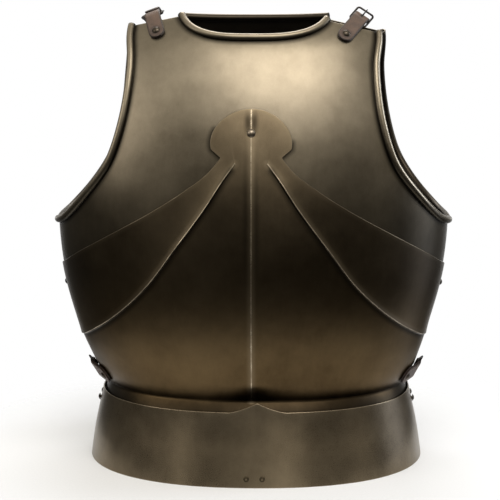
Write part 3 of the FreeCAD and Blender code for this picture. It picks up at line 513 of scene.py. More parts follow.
def upper_plate(form, out, foot, neck, shoulders, heights, armhole, flange=None):
    """A plate with rolled neck and armholes, shoulders and straight side edges."""
    mesh = Mesh()

    def foot_line(a, b):
        return lambda u: (a + (b - a) * np.asarray(u), np.full(np.shape(u), foot))

    # The blocks of columns from side to side: arm, top, neck, top, arm
    blocks = []
    for side in (-1, 1):
        tip = (side * shoulders[side > 0], heights[side > 0])
        bends = [(side * a, armpit_height + (tip[1] - armpit_height) * share) for a, share in armhole]
        edge = course([tip] + bends + [(side * side_edge_angle, armpit_height)])
        end, far, near = [side * a for a in (side_edge_angle, shoulder_foot_angle, neck_foot_angle)]
        corner = tuple(float(v) for v in neck(side))
        shoulder = lambda u, c=corner, t=tip: mix(c, t, np.asarray(u))
        top = ("top", foot_line(near, far), shoulder, spread(22)[::side])
        arm = ("arm", foot_line(far, end), edge, spread(110, high=True, fine=0.003)[::side])
        blocks += [top, arm][::side]
    neck_low = foot_line(-neck_foot_angle, neck_foot_angle)
    blocks.insert(2, ("neck", neck_low, lambda u: neck(2 * np.asarray(u) - 1), spread(110)))
    columns, kinds = [], []
    rises = spread(130, low=flange is None, high=True, fine=0.002)
    drops = spread(18, low=True, fine=0.02)[:-1]
    for kind, low, high, shares in blocks:
        a0, h0 = low(shares)
        a1, h1 = high(shares)
        v = rises[None, :]
        angle = a0[:, None] + (a1 - a0)[:, None] * v
        height = h0[:, None] + (h1 - h0)[:, None] * v
        x0, x1 = form.across(a0, h0)[0], form.across(a1, h1)[0]
        seen = form.angle_at(x0[:, None] + (x1 - x0)[:, None] * v, height)
        keep = np.zeros(len(shares))
        if kind == "arm":
            keep = ease((shares - side_line_share) / (1 - side_line_share))
        angle = seen + (angle - seen) * keep[:, None]
        if flange is not None:
            below = flange + (foot - flange) * drops[None, :]
            angle = np.concatenate([np.repeat(a0[:, None], len(drops), 1), angle], 1)
            height = np.concatenate([np.repeat(below, len(shares), 0), height], 1)
        shared = 1 if columns else 0
        first = len(columns) - shared
        kinds.append((kind, first, first + len(shares)))
        columns += list(zip(angle, height))[shared:]
    angle = np.array([c[0] for c in columns])
    height = np.array([c[1] for c in columns])
    normal = form.normal(angle, height)
    middle = form.radial(angle, height) + normal * out
    mesh.leaf(middle, normal, sheet / 2)
    for kind, i, j in kinds:
        if kind == "top":
            mesh.edge_lines.append(dense(middle[i:j, -1]))
        else:
            roll(mesh, middle[i:j, -1], normal[i:j, -1], middle[i:j, -3])
    for line in (middle[0], middle[-1], middle[:, 0]):
        mesh.edge_lines.append(dense(line))
    return mesh


def keel(x, height):
    top = ease((finial_tip_height - height) / keel_fade_top)
    waist = ease((height - waist_height) / keel_fade_waist)
    return keel_height * top * waist * np.exp(-np.abs(x) / keel_half_width)


def crease_rise(share):
    start = crease_start_height / crease_height
    rise = start + (1 - start) * ease(share / 0.12)
    fall = 1 - 0.75 * ease((share - 0.72) / 0.28)
    return crease_height * rise * fall


def finial_edge(side, turn):
    """Angle and height on the finial's round edge, by the turn from its tip."""
    reach = np.radians(turn)
    rise = finial_tip_height - finial_shoulder_height
    return finial_angle * side * np.sin(reach), finial_shoulder_height + rise * np.cos(reach)


def plackart_mesh():
    mesh = Mesh()
    form = front_low

    def spot(angle, height, lift=0.0):
        n = form.normal(angle, height)
        p = form.radial(angle, height) + n * (plackart_out + np.asarray(lift))[..., None]
        p[..., 1] -= keel(p[..., 0], height)
        return p, n

    for side in (-1, 1):
        end = side * side_edge_angle
        crest_bends = [(side * a, h) for a, h in (crease_start,) + crease_line]
        crest = course(crest_bends + [(end, crease_side_height)])
        notch = (side * finial_notch[0], finial_notch[1])
        top_edge = course([notch] + [(side * a, h) for a, h in plackart_edge] + [(end, plackart_side_height)])
        start = tuple(float(v) for v in crest(0.0))
        low_start = (start[0], start[1] - crease_drop)
        middle = (0.0, low_start[1])

        def low_crest(u):
            angle, height = crest(u)
            return angle, height - crease_drop

        def between(low, high, us, vs, free="", lift=None):
            us, vs = np.asarray(us), np.asarray(vs)
            a0, h0 = low(us)
            a1, h1 = high(us)
            a0, h0, a1, h1 = [np.broadcast_to(v, us.shape) for v in (a0, h0, a1, h1)]
            angle = a0[:, None] + (a1 - a0)[:, None] * vs[None, :]
            height = h0[:, None] + (h1 - h0)[:, None] * vs[None, :]
            up = lift(us[:, None], vs[None, :]) if lift else 0.0
            p, n = spot(angle, height, up)
            outer = mesh.grid(p + n * sheet / 2)
            inner = mesh.grid(p - n * sheet / 2, 1.0)
            rows, cols = p.shape[:2]
            borders = {
                "r": [(rows - 1) * cols + j for j in range(cols)],
                "b": [i * cols for i in range(rows)],
                "t": [i * cols + cols - 1 for i in range(rows)],
            }
            flat = p.reshape(-1, 3)
            for mark in free:
                ring = borders[mark]
                step = {"r": -cols, "b": 1, "t": -1}[mark]
                away = unit(flat[ring] - flat[[k + step for k in ring]])
                bulge = mesh.add(flat[ring] + away * sheet * 0.4)
                for k in range(len(ring) - 1):
                    a, b = ring[k], ring[k + 1]
                    mesh.faces.append((outer + a, outer + b, bulge + k + 1, bulge + k))
                    mesh.faces.append((bulge + k, bulge + k + 1, inner + b, inner + a))
                mesh.edge_lines.append(dense(flat[ring]))
            return p, n

        def line(a, b):
            return lambda u: mix(a, b, np.asarray(u))

        inner_foot = side * crease_foot_angle
        foot_a = line((0.0, waist_height), (inner_foot, waist_height))
        foot_b = line((inner_foot, waist_height), (end, waist_height))
        flange_foot = waist_height - flange_drop
        narrow = np.linspace(0, 1, 13)
        wide = spread(150, high=True, fine=0.002)
        tall = spread(130)
        skirt = spread(16, low=True, fine=0.02)
        between(foot_a, line(middle, low_start), narrow, tall)
        between(foot_b, low_crest, wide, tall, "r")
        between(line((0.0, flange_foot), (inner_foot, flange_foot)), foot_a, narrow, skirt, "b")
        between(line((inner_foot, flange_foot), (end, flange_foot)), foot_b, wide, skirt, "br")
        riser = np.linspace(0, 1, 5)
        p, n = between(low_crest, crest, wide, riser, "r", lambda u, v: crease_rise(u) * ease(v))
        mesh.crest_lines.append(dense(p[:, -1] + n[:, -1] * sheet / 2))
        # A painted shade line along the foot of each crease
        mesh.painted_shade_lines.append(dense((p[:, 0] + n[:, 0] * sheet / 2)[3:]))

        def flank(u, v):
            low = spot(*crest(u))[0]
            c, t = crest(u), top_edge(u)
            here = spot(*mix(c, t, v))[0]
            return crease_rise(u) * np.exp(-np.linalg.norm(here - low, axis=-1) / crease_flare)

        flare = spread(60, high=True, fine=0.004)
        flare_shares = np.sort(np.concatenate([flare, [0.004, 0.01]]))
        between(crest, top_edge, wide, flare_shares, "rt", flank)
        turns = finial_turns
        feet = (middle, low_start, start, notch)
        counts = (narrow, riser, flare_shares)
        rise_up = spread(40, high=True, fine=0.008)
        for k, across in enumerate(counts):

            def high(u, low=turns[k], reach=turns[k + 1] - turns[k]):
                return finial_edge(side, low + reach * np.asarray(u))

            lift = None
            if k == 1:
                lift = lambda u, v: crease_rise(0) * ease(u) * (1 - v) ** 4
            if k == 2:
                lift = lambda u, v: flank(np.zeros_like(u), u) * (1 - v) ** 4
            between(line(feet[k], feet[k + 1]), high, across, rise_up, "tr" if k == 2 else "t", lift)
    # Painted shade at both sides of the ridge, which fades towards its ends:
    # (distance to the side, from, to, height above the sheet at the middle and at the ends)
    for x, low, high, above, fade in ((2.8, 341.0, 362.0, 1.4, 5.5), (5.0, 200.0, 330.0, 3.4, 5.8)):
        for side in (-1, 1):
            along = np.linspace(-1, 1, 200)
            heights = low + (high - low) * (along + 1) / 2
            p, n = spot(form.angle_at(np.full(200, x * side), heights), heights)
            mesh.painted_shade_lines.append(p + n * (above + (fade - above) * along**2)[:, None])
    heights = np.linspace(waist_height + 2, finial_tip_height - 1, 400)
    p, n = spot(np.zeros_like(heights), heights)
    p[:, 0] = 0
    mesh.crest_lines.append(p + n * sheet / 2)
    return mesh


def band_mesh(form, cusp):
    mesh = Mesh()
    centre = math.degrees(math.atan2(cusp_side, float(form.depth(band_top))))
    half = spread(150, high=True, fine=0.003)
    left = centre + (-side_edge_angle - centre) * half[::-1]
    right = centre + (side_edge_angle - centre) * half[1:]
    angles = np.concatenate([left, right])
    shares = spread(60, low=True, high=True, fine=0.006)
    rise = cusp * np.maximum(1 - np.abs(angles - centre) / cusp_half_angle, 0.0) ** cusp_power
    height = (band_top + rise)[:, None] * shares[None, :]
    angle = np.repeat(angles[:, None], len(shares), 1)
    normal = form.normal(angle, height)
    middle = form.point(angle, height)
    mesh.leaf(middle, normal, sheet / 2)
    for line in (middle[0], middle[-1], middle[:, 0], middle[:, -1]):
        mesh.edge_lines.append(dense(line))
    return mesh


# Materials


class Paint:
    """The node tree of a material or of the world, built with short calls."""

    def __init__(self, owner, end="OutputMaterial"):
        self.owner = owner
        owner.use_nodes = True
        self.tree = owner.node_tree
        self.tree.nodes.clear()
        self.end = self.node(end)

    def put(self, socket, value):
        if isinstance(value, bpy.types.NodeSocket):
            self.tree.links.new(value, socket)
        elif isinstance(value, (tuple, list)) and len(value) == 3 and socket.type == "RGBA":
            socket.default_value = (*value, 1.0)
        else:
            socket.default_value = value

    def node(self, kind, props=None, **inputs):
        made = self.tree.nodes.new("ShaderNode" + kind)
        for key, value in (props or {}).items():
            setattr(made, key, value)
        for key, value in inputs.items():
            self.put(made.inputs[key.replace("_", " ")], value)
        return made

    def math(self, operation, a, b=None, c=None):
        made = self.tree.nodes.new("ShaderNodeMath")
        made.operation = operation
        for socket, value in zip(made.inputs, (a, b, c)):
            if value is not None:
                self.put(socket, value)
        return made.outputs[0]

    def sway(self, value, share, base):
        """A base that goes up and down with a noise."""
        return self.math("MULTIPLY_ADD", self.math("SUBTRACT", value, 0.5), share, base)

    def vector(self, operation, *values):
        made = self.node("VectorMath", {"operation": operation})
        for socket, value in zip(made.inputs, values):
            self.put(socket, value)
        return made.outputs

    def read(self, name):
        return self.node("Attribute", {"attribute_name": name}).outputs["Fac"]

    def noise(self, scale, detail=4.0, roughness=0.55, stretch=None, seed=0.0):
        place = self.node("TexCoord").outputs["Object"]
        if stretch or seed:
            shift = self.node("Mapping", None, Vector=place)
            shift.inputs["Scale"].default_value = stretch or (1, 1, 1)
            shift.inputs["Location"].default_value = (seed, seed * 0.7, seed * 1.3)
            place = shift.outputs[0]
        sizes = {"Scale": scale, "Detail": detail, "Roughness": roughness}
        return self.node("TexNoise", None, Vector=place, **sizes).outputs["Fac"]

    def span(self, value, low, high, to_low=0.0, to_high=1.0, smooth=False):
        made = self.node("MapRange", {"interpolation_type": "SMOOTHSTEP" if smooth else "LINEAR"})
        for socket, number in zip(made.inputs, (value, low, high, to_low, to_high)):
            self.put(socket, number)
        return made.outputs[0]

    def blend(self, share, a, b, kind="MIX"):
        made = self.node("Mix", {"data_type": "RGBA", "blend_type": kind})
        self.put(made.inputs[0], share)
        self.put(made.inputs[6], a)
        self.put(made.inputs[7], b)
        return made.outputs[2]

    def bumps(self, *layers):
        """Bumps on each other, from (height, distance, strength)."""
        normal = None
        for height, distance, strength in layers:
            made = self.node("Bump", None, Height=height, Distance=distance, Strength=strength)
            if normal:
                self.put(made.inputs["Normal"], normal)
            normal = made.outputs[0]
        return normal

    def finish(self, **inputs):
        shader = self.node("BsdfPrincipled", None, **inputs)
        self.put(self.end.inputs["Surface"], shader.outputs[0])
        return self.owner

    def finish_mixed(self, share, first, second):
        both = self.node("MixShader")
        for socket, value in zip(both.inputs, (share, first.outputs[0], second.outputs[0])):
            self.put(socket, value)
        self.put(self.end.inputs["Surface"], both.outputs[0])


def steel(name, light, dark, seed, wear_and_sheen_colour=(0.46, 0.40, 0.31), line=0.9, rough=0.36, painted_shading=None, rub=0.8):
    """Antiqued steel: mottled brown, with painted shading by height, and bright along edges and creases,
    which is rubbed wear and also a painted highlight.
    """
    p = Paint(bpy.data.materials.new(name))
    cloud = p.noise(9.0, 5.0, 0.6, seed=seed)
    patch = p.noise(42.0, 4.0, 0.6, seed=seed + 3.1)
    grain = p.noise(1400.0, 3.0, 0.65, seed=seed)
    streak = p.noise(260.0, 3.0, 0.6, stretch=(1.0, 1.0, 0.18), seed=seed + 1.7)
    tone = p.math("MULTIPLY_ADD", cloud, 0.9, p.math("MULTIPLY", patch, 0.35))
    tone = p.math("MULTIPLY_ADD", grain, 0.28, tone)
    tone = p.math("MULTIPLY_ADD", streak, 0.12, tone)
    tone = p.span(tone, 0.55, 1.12)
    colour = p.blend(tone, dark, light)
    # Painted shading: the colour is multiplied by a ramp over height, lighter where the metal is to look lit
    # and darker where it is to look shaded
    if painted_shading:
        place = p.node("SeparateXYZ", None, Vector=p.node("TexCoord").outputs["Object"])
        height = p.sway(cloud, 0.03, place.outputs[2])
        level = p.node("MapRange", None, Value=height)
        level.inputs[1].default_value = painted_shading[0][0]
        level.inputs[2].default_value = painted_shading[-1][0]
        painted_shading_ramp = p.node("ValToRGB", None, Fac=level.outputs[0])
        painted_shading_ramp.color_ramp.interpolation = "B_SPLINE"
        reach = painted_shading[-1][0] - painted_shading[0][0]
        marks = painted_shading_ramp.color_ramp.elements
        marks[0].color = (*painted_shading[0][1], 1.0)
        marks[1].color = (*painted_shading[-1][1], 1.0)
        for at, tint in painted_shading[1:-1]:
            marks.new((at - painted_shading[0][0]) / reach).color = (*tint, 1.0)
        colour = p.blend(1.0, colour, painted_shading_ramp.outputs[0], "MULTIPLY")

    def near(label, low):
        """1 on the lines of a kind, 0 away from them, with a ragged limit."""
        return p.span(p.sway(patch, line * 1.2, p.read(label)), low * line, 1.3 * line, 1.0, 0.0, True)

    # Rubbed bright along edges and creases: wear, and also a painted highlight on the crests
    wear_and_sheen = p.math("MAXIMUM", p.math("MULTIPLY", near("edge", 0.4), rub), near("crest", 0.45))
    wear_and_sheen_patches = p.span(p.noise(70.0, 3.0, 0.6, seed=seed + 8.0), 0.38, 0.62, 0.35, 1.0)
    wear_and_sheen = p.math("MULTIPLY", wear_and_sheen, wear_and_sheen_patches)
    # Painted highlight: a lighter band along edges and creases
    painted_highlight = p.math("MAXIMUM", p.span(p.read("edge"), 0.0, 5.0, 0.08, 0.0, True),
                  p.span(p.read("crest"), 0.0, 6.0, 0.2, 0.0, True))
    colour = p.blend(painted_highlight, colour, tuple(min(v * 1.5, 1.0) for v in light))
    # Painted shade: darker along the painted shade lines
    painted_shade_mask = p.span(p.read("painted_shade"), 0.0, 6.0, 1.0, 0.0, True)
    colour = p.blend(p.math("MULTIPLY", painted_shade_mask, 0.88), colour, tuple(v * 0.16 for v in dark))
    colour = p.blend(p.math("MULTIPLY", wear_and_sheen, 0.8), colour, wear_and_sheen_colour)
    # Inner faces are made near black; the body-facing half of each roll gets the same mark as painted shade
    inside = p.read("inside")
    colour = p.blend(p.math("MULTIPLY", inside, 0.85), colour, (0.016, 0.014, 0.012))
    roughness = p.sway(cloud, 0.16, p.sway(grain, 0.22, rough))
    roughness = p.math("MULTIPLY_ADD", wear_and_sheen, -0.1, roughness)
    wave = p.noise(22.0, 2.0, 0.4, seed=seed + 5.0)
    normal = p.bumps((wave, 0.0011, 0.55), (streak, 0.00004, 0.6), (grain, 0.00006, 0.75))
    return p.finish(Base_Color=colour, Metallic=1.0, Roughness=roughness, Normal=normal)


def leather(name):
    p = Paint(bpy.data.materials.new(name))
    cloud = p.noise(60.0, 5.0, 0.6)
    pores = p.node("TexVoronoi", {"feature": "DISTANCE_TO_EDGE"}, Vector=p.node("TexCoord").outputs["Object"],
                   Scale=1100.0).outputs["Distance"]
    fibre = p.noise(700.0, 5.0, 0.7)
    colour = p.blend(p.span(cloud, 0.35, 0.68), (0.045, 0.026, 0.018), (0.115, 0.068, 0.046))
    colour = p.blend(p.span(fibre, 0.45, 0.7, 0.0, 0.35), colour, (0.17, 0.108, 0.075))
    rim = p.span(p.sway(fibre, 0.8, p.read("edge")), 0.2, 1.7, 0.85, 0.0, True)
    colour = p.blend(rim, colour, (0.02, 0.012, 0.009))
    # Darker near the painted shade lines: painted shade at the fold's nose and round the rivet heads
    colour = p.blend(p.span(p.read("painted_shade"), 0.0, 3.5, 0.5, 0.0, True), colour, (0.03, 0.018, 0.013))
    normal = p.bumps((p.span(pores, 0.0, 0.22), 0.00012, 0.5), (fibre, 0.00012, 0.6), (cloud, 0.0003, 0.5))
    roughness = p.math("MULTIPLY_ADD", fibre, 0.3, 0.38)
    return p.finish(Base_Color=colour, Roughness=roughness, Normal=normal)


def blackened(name):
    p = Paint(bpy.data.materials.new(name))
    cloud = p.noise(160.0, 4.0, 0.6)
    grain = p.noise(1500.0, 3.0, 0.6)
    colour = p.blend(p.span(cloud, 0.4, 0.66), (0.012, 0.0105, 0.01), (0.045, 0.038, 0.034))
    rub = p.math("MULTIPLY", p.span(p.math("ADD", grain, p.math("MULTIPLY", cloud, 0.6)), 0.86, 1.02), 0.6)
    colour = p.blend(rub, colour, (0.2, 0.175, 0.15))
    normal = p.bumps((grain, 0.00005, 0.7), (cloud, 0.0002, 0.4))
    roughness = p.math("MULTIPLY_ADD", cloud, 0.25, 0.27)
    return p.finish(Base_Color=colour, Metallic=0.85, Roughness=roughness, Normal=normal)


def rivet_metal(name, light, dark, rough=0.25):
    p = Paint(bpy.data.materials.new(name))
    cloud = p.noise(210.0, 4.0, 0.6)
    grain = p.noise(1600.0, 3.0, 0.6)
    colour = p.blend(p.span(cloud, 0.38, 0.66), dark, light)
    # Darker near the painted shade lines: painted shade
    colour = p.blend(p.span(p.read("painted_shade"), 0.0, 1.2, 0.85, 0.0, True), colour, tuple(v * 0.3 for v in dark))
    normal = p.bumps((grain, 0.00004, 0.6), (cloud, 0.00025, 0.5))
    roughness = p.math("MULTIPLY_ADD", grain, 0.2, rough - 0.1)
    return p.finish(Base_Color=colour, Metallic=1.0, Roughness=roughness, Normal=normal)


# Painted shading by height for the plates: (height in metres, multiplier for the colour)
breast_painted_shading = (
    (0.19, (0.22, 0.21, 0.19)),
    (0.27, (0.46, 0.45, 0.42)),
    (0.33, (0.78, 0.77, 0.75)),
    (0.40, (0.98, 0.98, 0.97)),
    (0.46, (0.60, 0.59, 0.57)),
)
plackart_painted_shading = (
    (0.05, (0.05, 0.05, 0.05)),
    (0.076, (0.08, 0.075, 0.07)),
    (0.088, (0.52, 0.43, 0.31)),
    (0.125, (0.74, 0.63, 0.46)),
    (0.165, (0.46, 0.41, 0.33)),
    (0.20, (0.28, 0.26, 0.23)),
    (0.26, (0.33, 0.32, 0.31)),
    (0.31, (0.62, 0.60, 0.57)),
    (0.365, (0.80, 0.78, 0.75)),
)
back_painted_shading = (
    (0.05, (0.08, 0.08, 0.08)),
    (0.085, (0.5, 0.46, 0.4)),
    (0.30, (0.62, 0.60, 0.56)),
    (0.46, (0.80, 0.78, 0.75)),
)
steel_breast = steel("steel_breastplate", (0.30, 0.258, 0.195), (0.14, 0.118, 0.086), 0.0,
                     painted_shading=breast_painted_shading)
steel_plackart = steel("steel_plackart", (0.28, 0.228, 0.155), (0.12, 0.093, 0.06), 11.0,
                       wear_and_sheen_colour=(0.6, 0.51, 0.38), line=0.72, painted_shading=plackart_painted_shading, rub=0.35)
steel_fauld = steel("steel_fauld", (0.27, 0.217, 0.145), (0.1, 0.078, 0.051), 23.0,
                    line=0.8, rough=0.3, rub=0.4)
steel_back = steel("steel_backplate", (0.27, 0.225, 0.155), (0.12, 0.096, 0.065), 37.0, painted_shading=back_painted_shading)
steel_culet = steel("steel_culet", (0.21, 0.175, 0.125), (0.075, 0.06, 0.042), 51.0, rough=0.3, rub=0.4)
strap_brown = leather("strap_leather")
buckle_black = blackened("buckle_steel")
# The centre rivet's copy is lighter: a painted highlight
rivet_painted_highlight = rivet_metal("rivet_painted_highlight", (0.9, 0.8, 0.64), (0.6, 0.5, 0.38), 0.36)
rivet_dull = rivet_metal("rivet_dull", (0.34, 0.29, 0.23), (0.13, 0.105, 0.08), 0.33)
eyelet_dull = rivet_metal("eyelet_dull", (0.33, 0.27, 0.17), (0.12, 0.095, 0.06), 0.34)


def take(piece, body, slot, *nodes):
    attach(piece, body)
    if nodes:
        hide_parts(*nodes)
    return piece


# Plates in place

neck = neck_line(neck_height, neck_rise_left, neck_rise_right)
tips = (shoulder_angle, shoulder_angle)
breast = upper_plate(front, 0.0, breast_foot, neck, tips, shoulder_heights, front_armhole)
# The shade under the finial's round edge and its notch, longer on the left
for side, first_turn in ((-1, finial_shade_left), (1, finial_shade_right)):
    angle, height = finial_edge(side, np.linspace(first_turn, finial_turns[-1], 40))
    notch = mix((angle[-1], height[-1]), (side * finial_notch[0], finial_notch[1]), np.linspace(0, 1, 30))
    for line in ((angle, height), notch):
        breast.painted_shade_lines.append(front.point(*line, sheet))
take(breast.piece("breastplate_plate", steel_breast), "front", "aged_steel", "breastplate")
back_neck = neck_line(back_neck_height, back_neck_rise, back_neck_rise)
behind = upper_plate(
    back, backplate_out, waist_height, back_neck, back_shoulder_angles, back_shoulder_heights,
    back_armhole, waist_height - flange_drop,
)
take(behind.piece("backplate_plate", steel_back), "back", "aged_steel", "backplate")
take(plackart_mesh().piece("plackart_plate", steel_plackart), "front", "aged_steel", "plackart")
take(band_mesh(fauld_form, cusp_height).piece("fauld_plate", steel_fauld), "fauld", "aged_steel", "fauld")
take(band_mesh(culet_form, 0.0).piece("culet_plate", steel_culet), "culet", "aged_steel", "culet")

# Straps, buckles and rivets


def along_stages(stages, run):
    """Frame after a run along a strap's underside, through its stages of (length, bend)."""
    place = Matrix.Identity(4)
    for length, bend in stages:
        part = min(run, length)
        turn = math.radians(bend * part / length)
        reach = Vector((part, 0, 0))
        if turn:
            radius = part / turn
            reach = Vector((radius * math.sin(turn), 0, radius * (math.cos(turn) - 1)))
        place = place @ Matrix.Translation(reach) @ Matrix.Rotation(turn, 4, "Y")
        run -= part
    return place


def full_run(stages):
    return sum(length for length, bend in stages)


def bar_frame(seat, stages):
    raised = seat @ Matrix.Translation((0, 0, strap_seat))
    to_bar = Matrix.Translation((loop_run + loop_start, 0, -strap_over_bar))
    return raised @ along_stages(stages, full_run(stages)) @ to_bar


def run_along(points):
    """The run from the first point to each point."""
    return np.concatenate([[0.0], np.cumsum(np.linalg.norm(np.diff(points, axis=0), axis=1))])


def smooth_path(spots, samples):
    """Points and across vectors evenly along a smooth way through (point, across) pairs."""
    points = np.array([list(p) for p, a in spots])
    across = np.array([list(a) for p, a in spots])
    way = run_along(points)
    at = np.linspace(0, way[-1], samples)

    def along(values):
        return np.stack([through(list(zip(way, values[:, k])))(at) for k in range(3)], -1)

    return along(points), unit(along(across))


def leather_strip(points, across, width, slot=None, holes=(), seed=0.0):
    """A strip of leather with rounded edges, round tips and a soft wave along it."""
    mesh = Mesh()
    way = run_along(points)
    total = way[-1]
    ahead = unit(np.gradient(points, axis=0))
    out = unit(np.cross(ahead, across))
    half = (width - strap_trim) / 2
    reach = np.full(len(way), half)
    for far in (way, total - way):
        near = np.clip(far / half, 0, 1)
        reach = np.minimum(reach, half * np.sqrt(np.maximum(1 - (1 - near) ** 2, tip_least**2)))
    reach = reach - edge_wave * (1 + np.sin(way * edge_wave_rate + seed)) / 2
    shares = np.linspace(-1, 1, strip_columns)
    shares = np.sign(shares) * np.abs(shares) ** strip_crowding
    cup = (1 - shares**2)[None, :] * leather_cup
    sideways = reach[:, None] * shares[None, :]
    lengthwise = np.repeat(way[:, None], len(shares), 1)
    keep = np.ones((len(way) - 1, len(shares) - 1), bool)

    def centres(v):
        return (v[:-1, :-1] + v[1:, :-1] + v[:-1, 1:] + v[1:, 1:]) / 4

    if slot:
        low, high, slot_half = slot
        run, off = centres(lengthwise), np.abs(centres(sideways))
        keep &= ~((run > low) & (run < high) & (off < slot_half))
    for run in holes:
        gone = np.hypot(centres(lengthwise) - run, centres(sideways)) < hole_radius
        keep &= ~gone
        touch = np.zeros(lengthwise.shape, bool)
        kept = np.zeros(lengthwise.shape, bool)
        for i, j in ((0, 0), (0, 1), (1, 0), (1, 1)):
            corner = np.s_[i:len(way) - 1 + i, j:len(shares) - 1 + j]
            touch[corner] |= gone
            kept[corner] |= ~gone
        rim = touch & kept
        far = np.hypot(lengthwise - run, sideways)
        scale = np.where(rim, hole_radius / np.maximum(far, 0.05), 1.0)
        lengthwise, sideways = run + (lengthwise - run) * scale, sideways * scale
    middle = points[:, None] + across[:, None] * sideways[..., None]
    middle = middle + ahead[:, None] * (lengthwise - way[:, None])[..., None]
    middle = middle + out[:, None] * cup[..., None]
    normal = np.repeat(out[:, None], len(shares), 1)
    thin = 0.45 + 0.55 * np.minimum((1 - np.abs(shares)) * half / ply, 1.0) ** 0.5
    ends = np.minimum(way, total - way)
    taper = 0.55 + 0.45 * np.clip(ends / tip_taper, 0, 1) ** 0.5
    scale = (thin[None, :] * taper[:, None])[..., None]
    border, flat = mesh.leaf(middle, normal * scale, ply * ply_share / 2, keep, bulge=0.5, inside=0.0)
    for p, q, face in border:
        mesh.edge_lines.append(flat[[p, q]])
    return mesh


def folded(name, body, seat, width, stages):
    """The short strap: from its tail along the plate, round the bar and back over itself."""
    raised = seat @ Matrix.Translation((0, 0, strap_seat))
    bar = bar_frame(seat, stages)
    to_bar = raised.inverted() @ bar
    stops = [-strap_tail, 0.0] + list(np.linspace(0, full_run(stages), 9)[1:])

    def ply_line(height):
        line = [along_stages(stages, max(t, 0.0)) @ Vector((min(t, 0.0), 0, height)) for t in stops]
        end = along_stages(stages, full_run(stages))
        line += [end @ Vector((loop_run * k / 4, 0, height)) for k in range(1, 5)]
        return line

    low = ply_line(ply / 2)
    high = ply_line(ply * 1.5 + ply_gap)
    ring = []
    for turn in np.radians(np.linspace(-loop_turn_low, loop_turn_high, 13)):
        ring.append(to_bar @ Vector((loop_middle * math.cos(turn), 0, loop_middle * math.sin(turn))))
    ring_high = [to_bar @ Vector((x, 0, z)) for x, z in loop_close]
    across = raised.to_3x3() @ Vector((0, 1, 0))
    spots = [(raised @ p, across) for p in low + ring + ring_high + high[::-1]]
    points, sides = smooth_path(spots, 260)
    near = np.linalg.norm(points - np.array(bar.translation), axis=1)
    within = run_along(points)[near < slot_reach]
    mesh = leather_strip(points, sides, width, (within.min(), within.max(), slot_half_width), seed=len(name))
    # Painted shade at the fold's nose, and in a ring round the rivet's head
    nose = [bar @ Vector((loop_middle + ply / 2, y, 0)) for y in np.linspace(-8, 8, 12)]
    round_head = [seat @ Vector((head_ring * math.cos(t), head_ring * math.sin(t), strap_seat + 2 * ply))
                  for t in np.linspace(0, 2 * math.pi, 40)]
    mesh.painted_shade_lines += [np.array([list(p) for p in line]) for line in (nose, round_head)]
    take(mesh.piece(name + "_leather", strap_brown, sharp=50), body, "strap_leather", name + "_strap")
    return bar


def sweep(mesh, points, radii, across_radii=None, closed=False, turns=14, up=None):
    """A rod round a line of points."""
    points = np.asarray(points, float)
    radii = np.broadcast_to(np.asarray(radii, float), (len(points),))
    wide = radii if across_radii is None else np.broadcast_to(np.asarray(across_radii, float), (len(points),))
    if closed:
        along = unit(np.roll(points, -1, 0) - np.roll(points, 1, 0))
    else:
        along = unit(np.gradient(points, axis=0))
    up = np.array([0.0, 0.0, 1.0]) if up is None else np.asarray(up, float)
    side = unit(np.cross(up, along))
    top = unit(np.cross(along, side))
    turn = np.linspace(0, 2 * math.pi, turns + 1)
    ring = (points[:, None] + side[:, None] * (wide[:, None] * np.cos(turn)[None])[..., None]
            + top[:, None] * (radii[:, None] * np.sin(turn)[None])[..., None])
    if closed:
        mesh.grid(ring, closed=True)
        return
    mesh.grid(ring)
    for k in (0, -1):
        tip = mesh.add(points[k] + along[k] * (1 if k else -1) * radii[k] * 0.35)
        first = mesh.add(ring[k, :-1])
        for j in range(turns):
            mesh.faces.append((tip, first + j, first + (j + 1) % turns))


def in_place(mesh, place):
    """Moves a mesh drawn in a frame of its own to that frame."""
    turn, shift = np.array(place.to_3x3()), np.array(place.translation)
    mesh.points = [p @ turn.T + shift for p in mesh.points]
    return mesh


def buckle(name, body, bar, width):
    """Frame of rounded rods with its middle bar."""
    mesh = Mesh()
    clear = width / 2 + frame_side_play
    half_x = frame_half_length - frame_rod / 2
    half_y = clear + frame_rod / 2
    corner = frame_corner - frame_rod / 2 + 0.3
    signs = ((1, 1), (-1, 1), (-1, -1), (1, -1))

    def round_corner(k, turn):
        middle = np.array([signs[k % 4][0] * (half_x - corner), signs[k % 4][1] * (half_y - corner), 0.0])
        return middle + corner * np.array([math.cos(turn), math.sin(turn), 0.0])

    loop = []
    for k in range(4):
        turns = [math.radians(90 * k + 90 * j / 8) for j in range(9)]
        loop += [round_corner(k, turn) for turn in turns]
        here, there = loop[-1], round_corner(k + 1, turns[-1])
        loop += [here + (there - here) * j / 6 for j in range(1, 6)]
    # Forged by hand, so the rod's width isn't quite even
    wide = frame_rod / 2 * (0.94 + 0.04 * np.sin(np.arange(len(loop)) * 1.7))
    sweep(mesh, loop, frame_half_thickness * 0.97, wide, closed=True, turns=16)
    y = np.linspace(-half_y, half_y, 30)
    sweep(mesh, np.stack([0 * y, y, 0 * y], -1), bar_radius * 0.96)
    made = in_place(mesh, bar).piece(name + "_frame", buckle_black, weld=0.01, sharp=60)
    take(made, body, "black_steel", name + "_buckle")


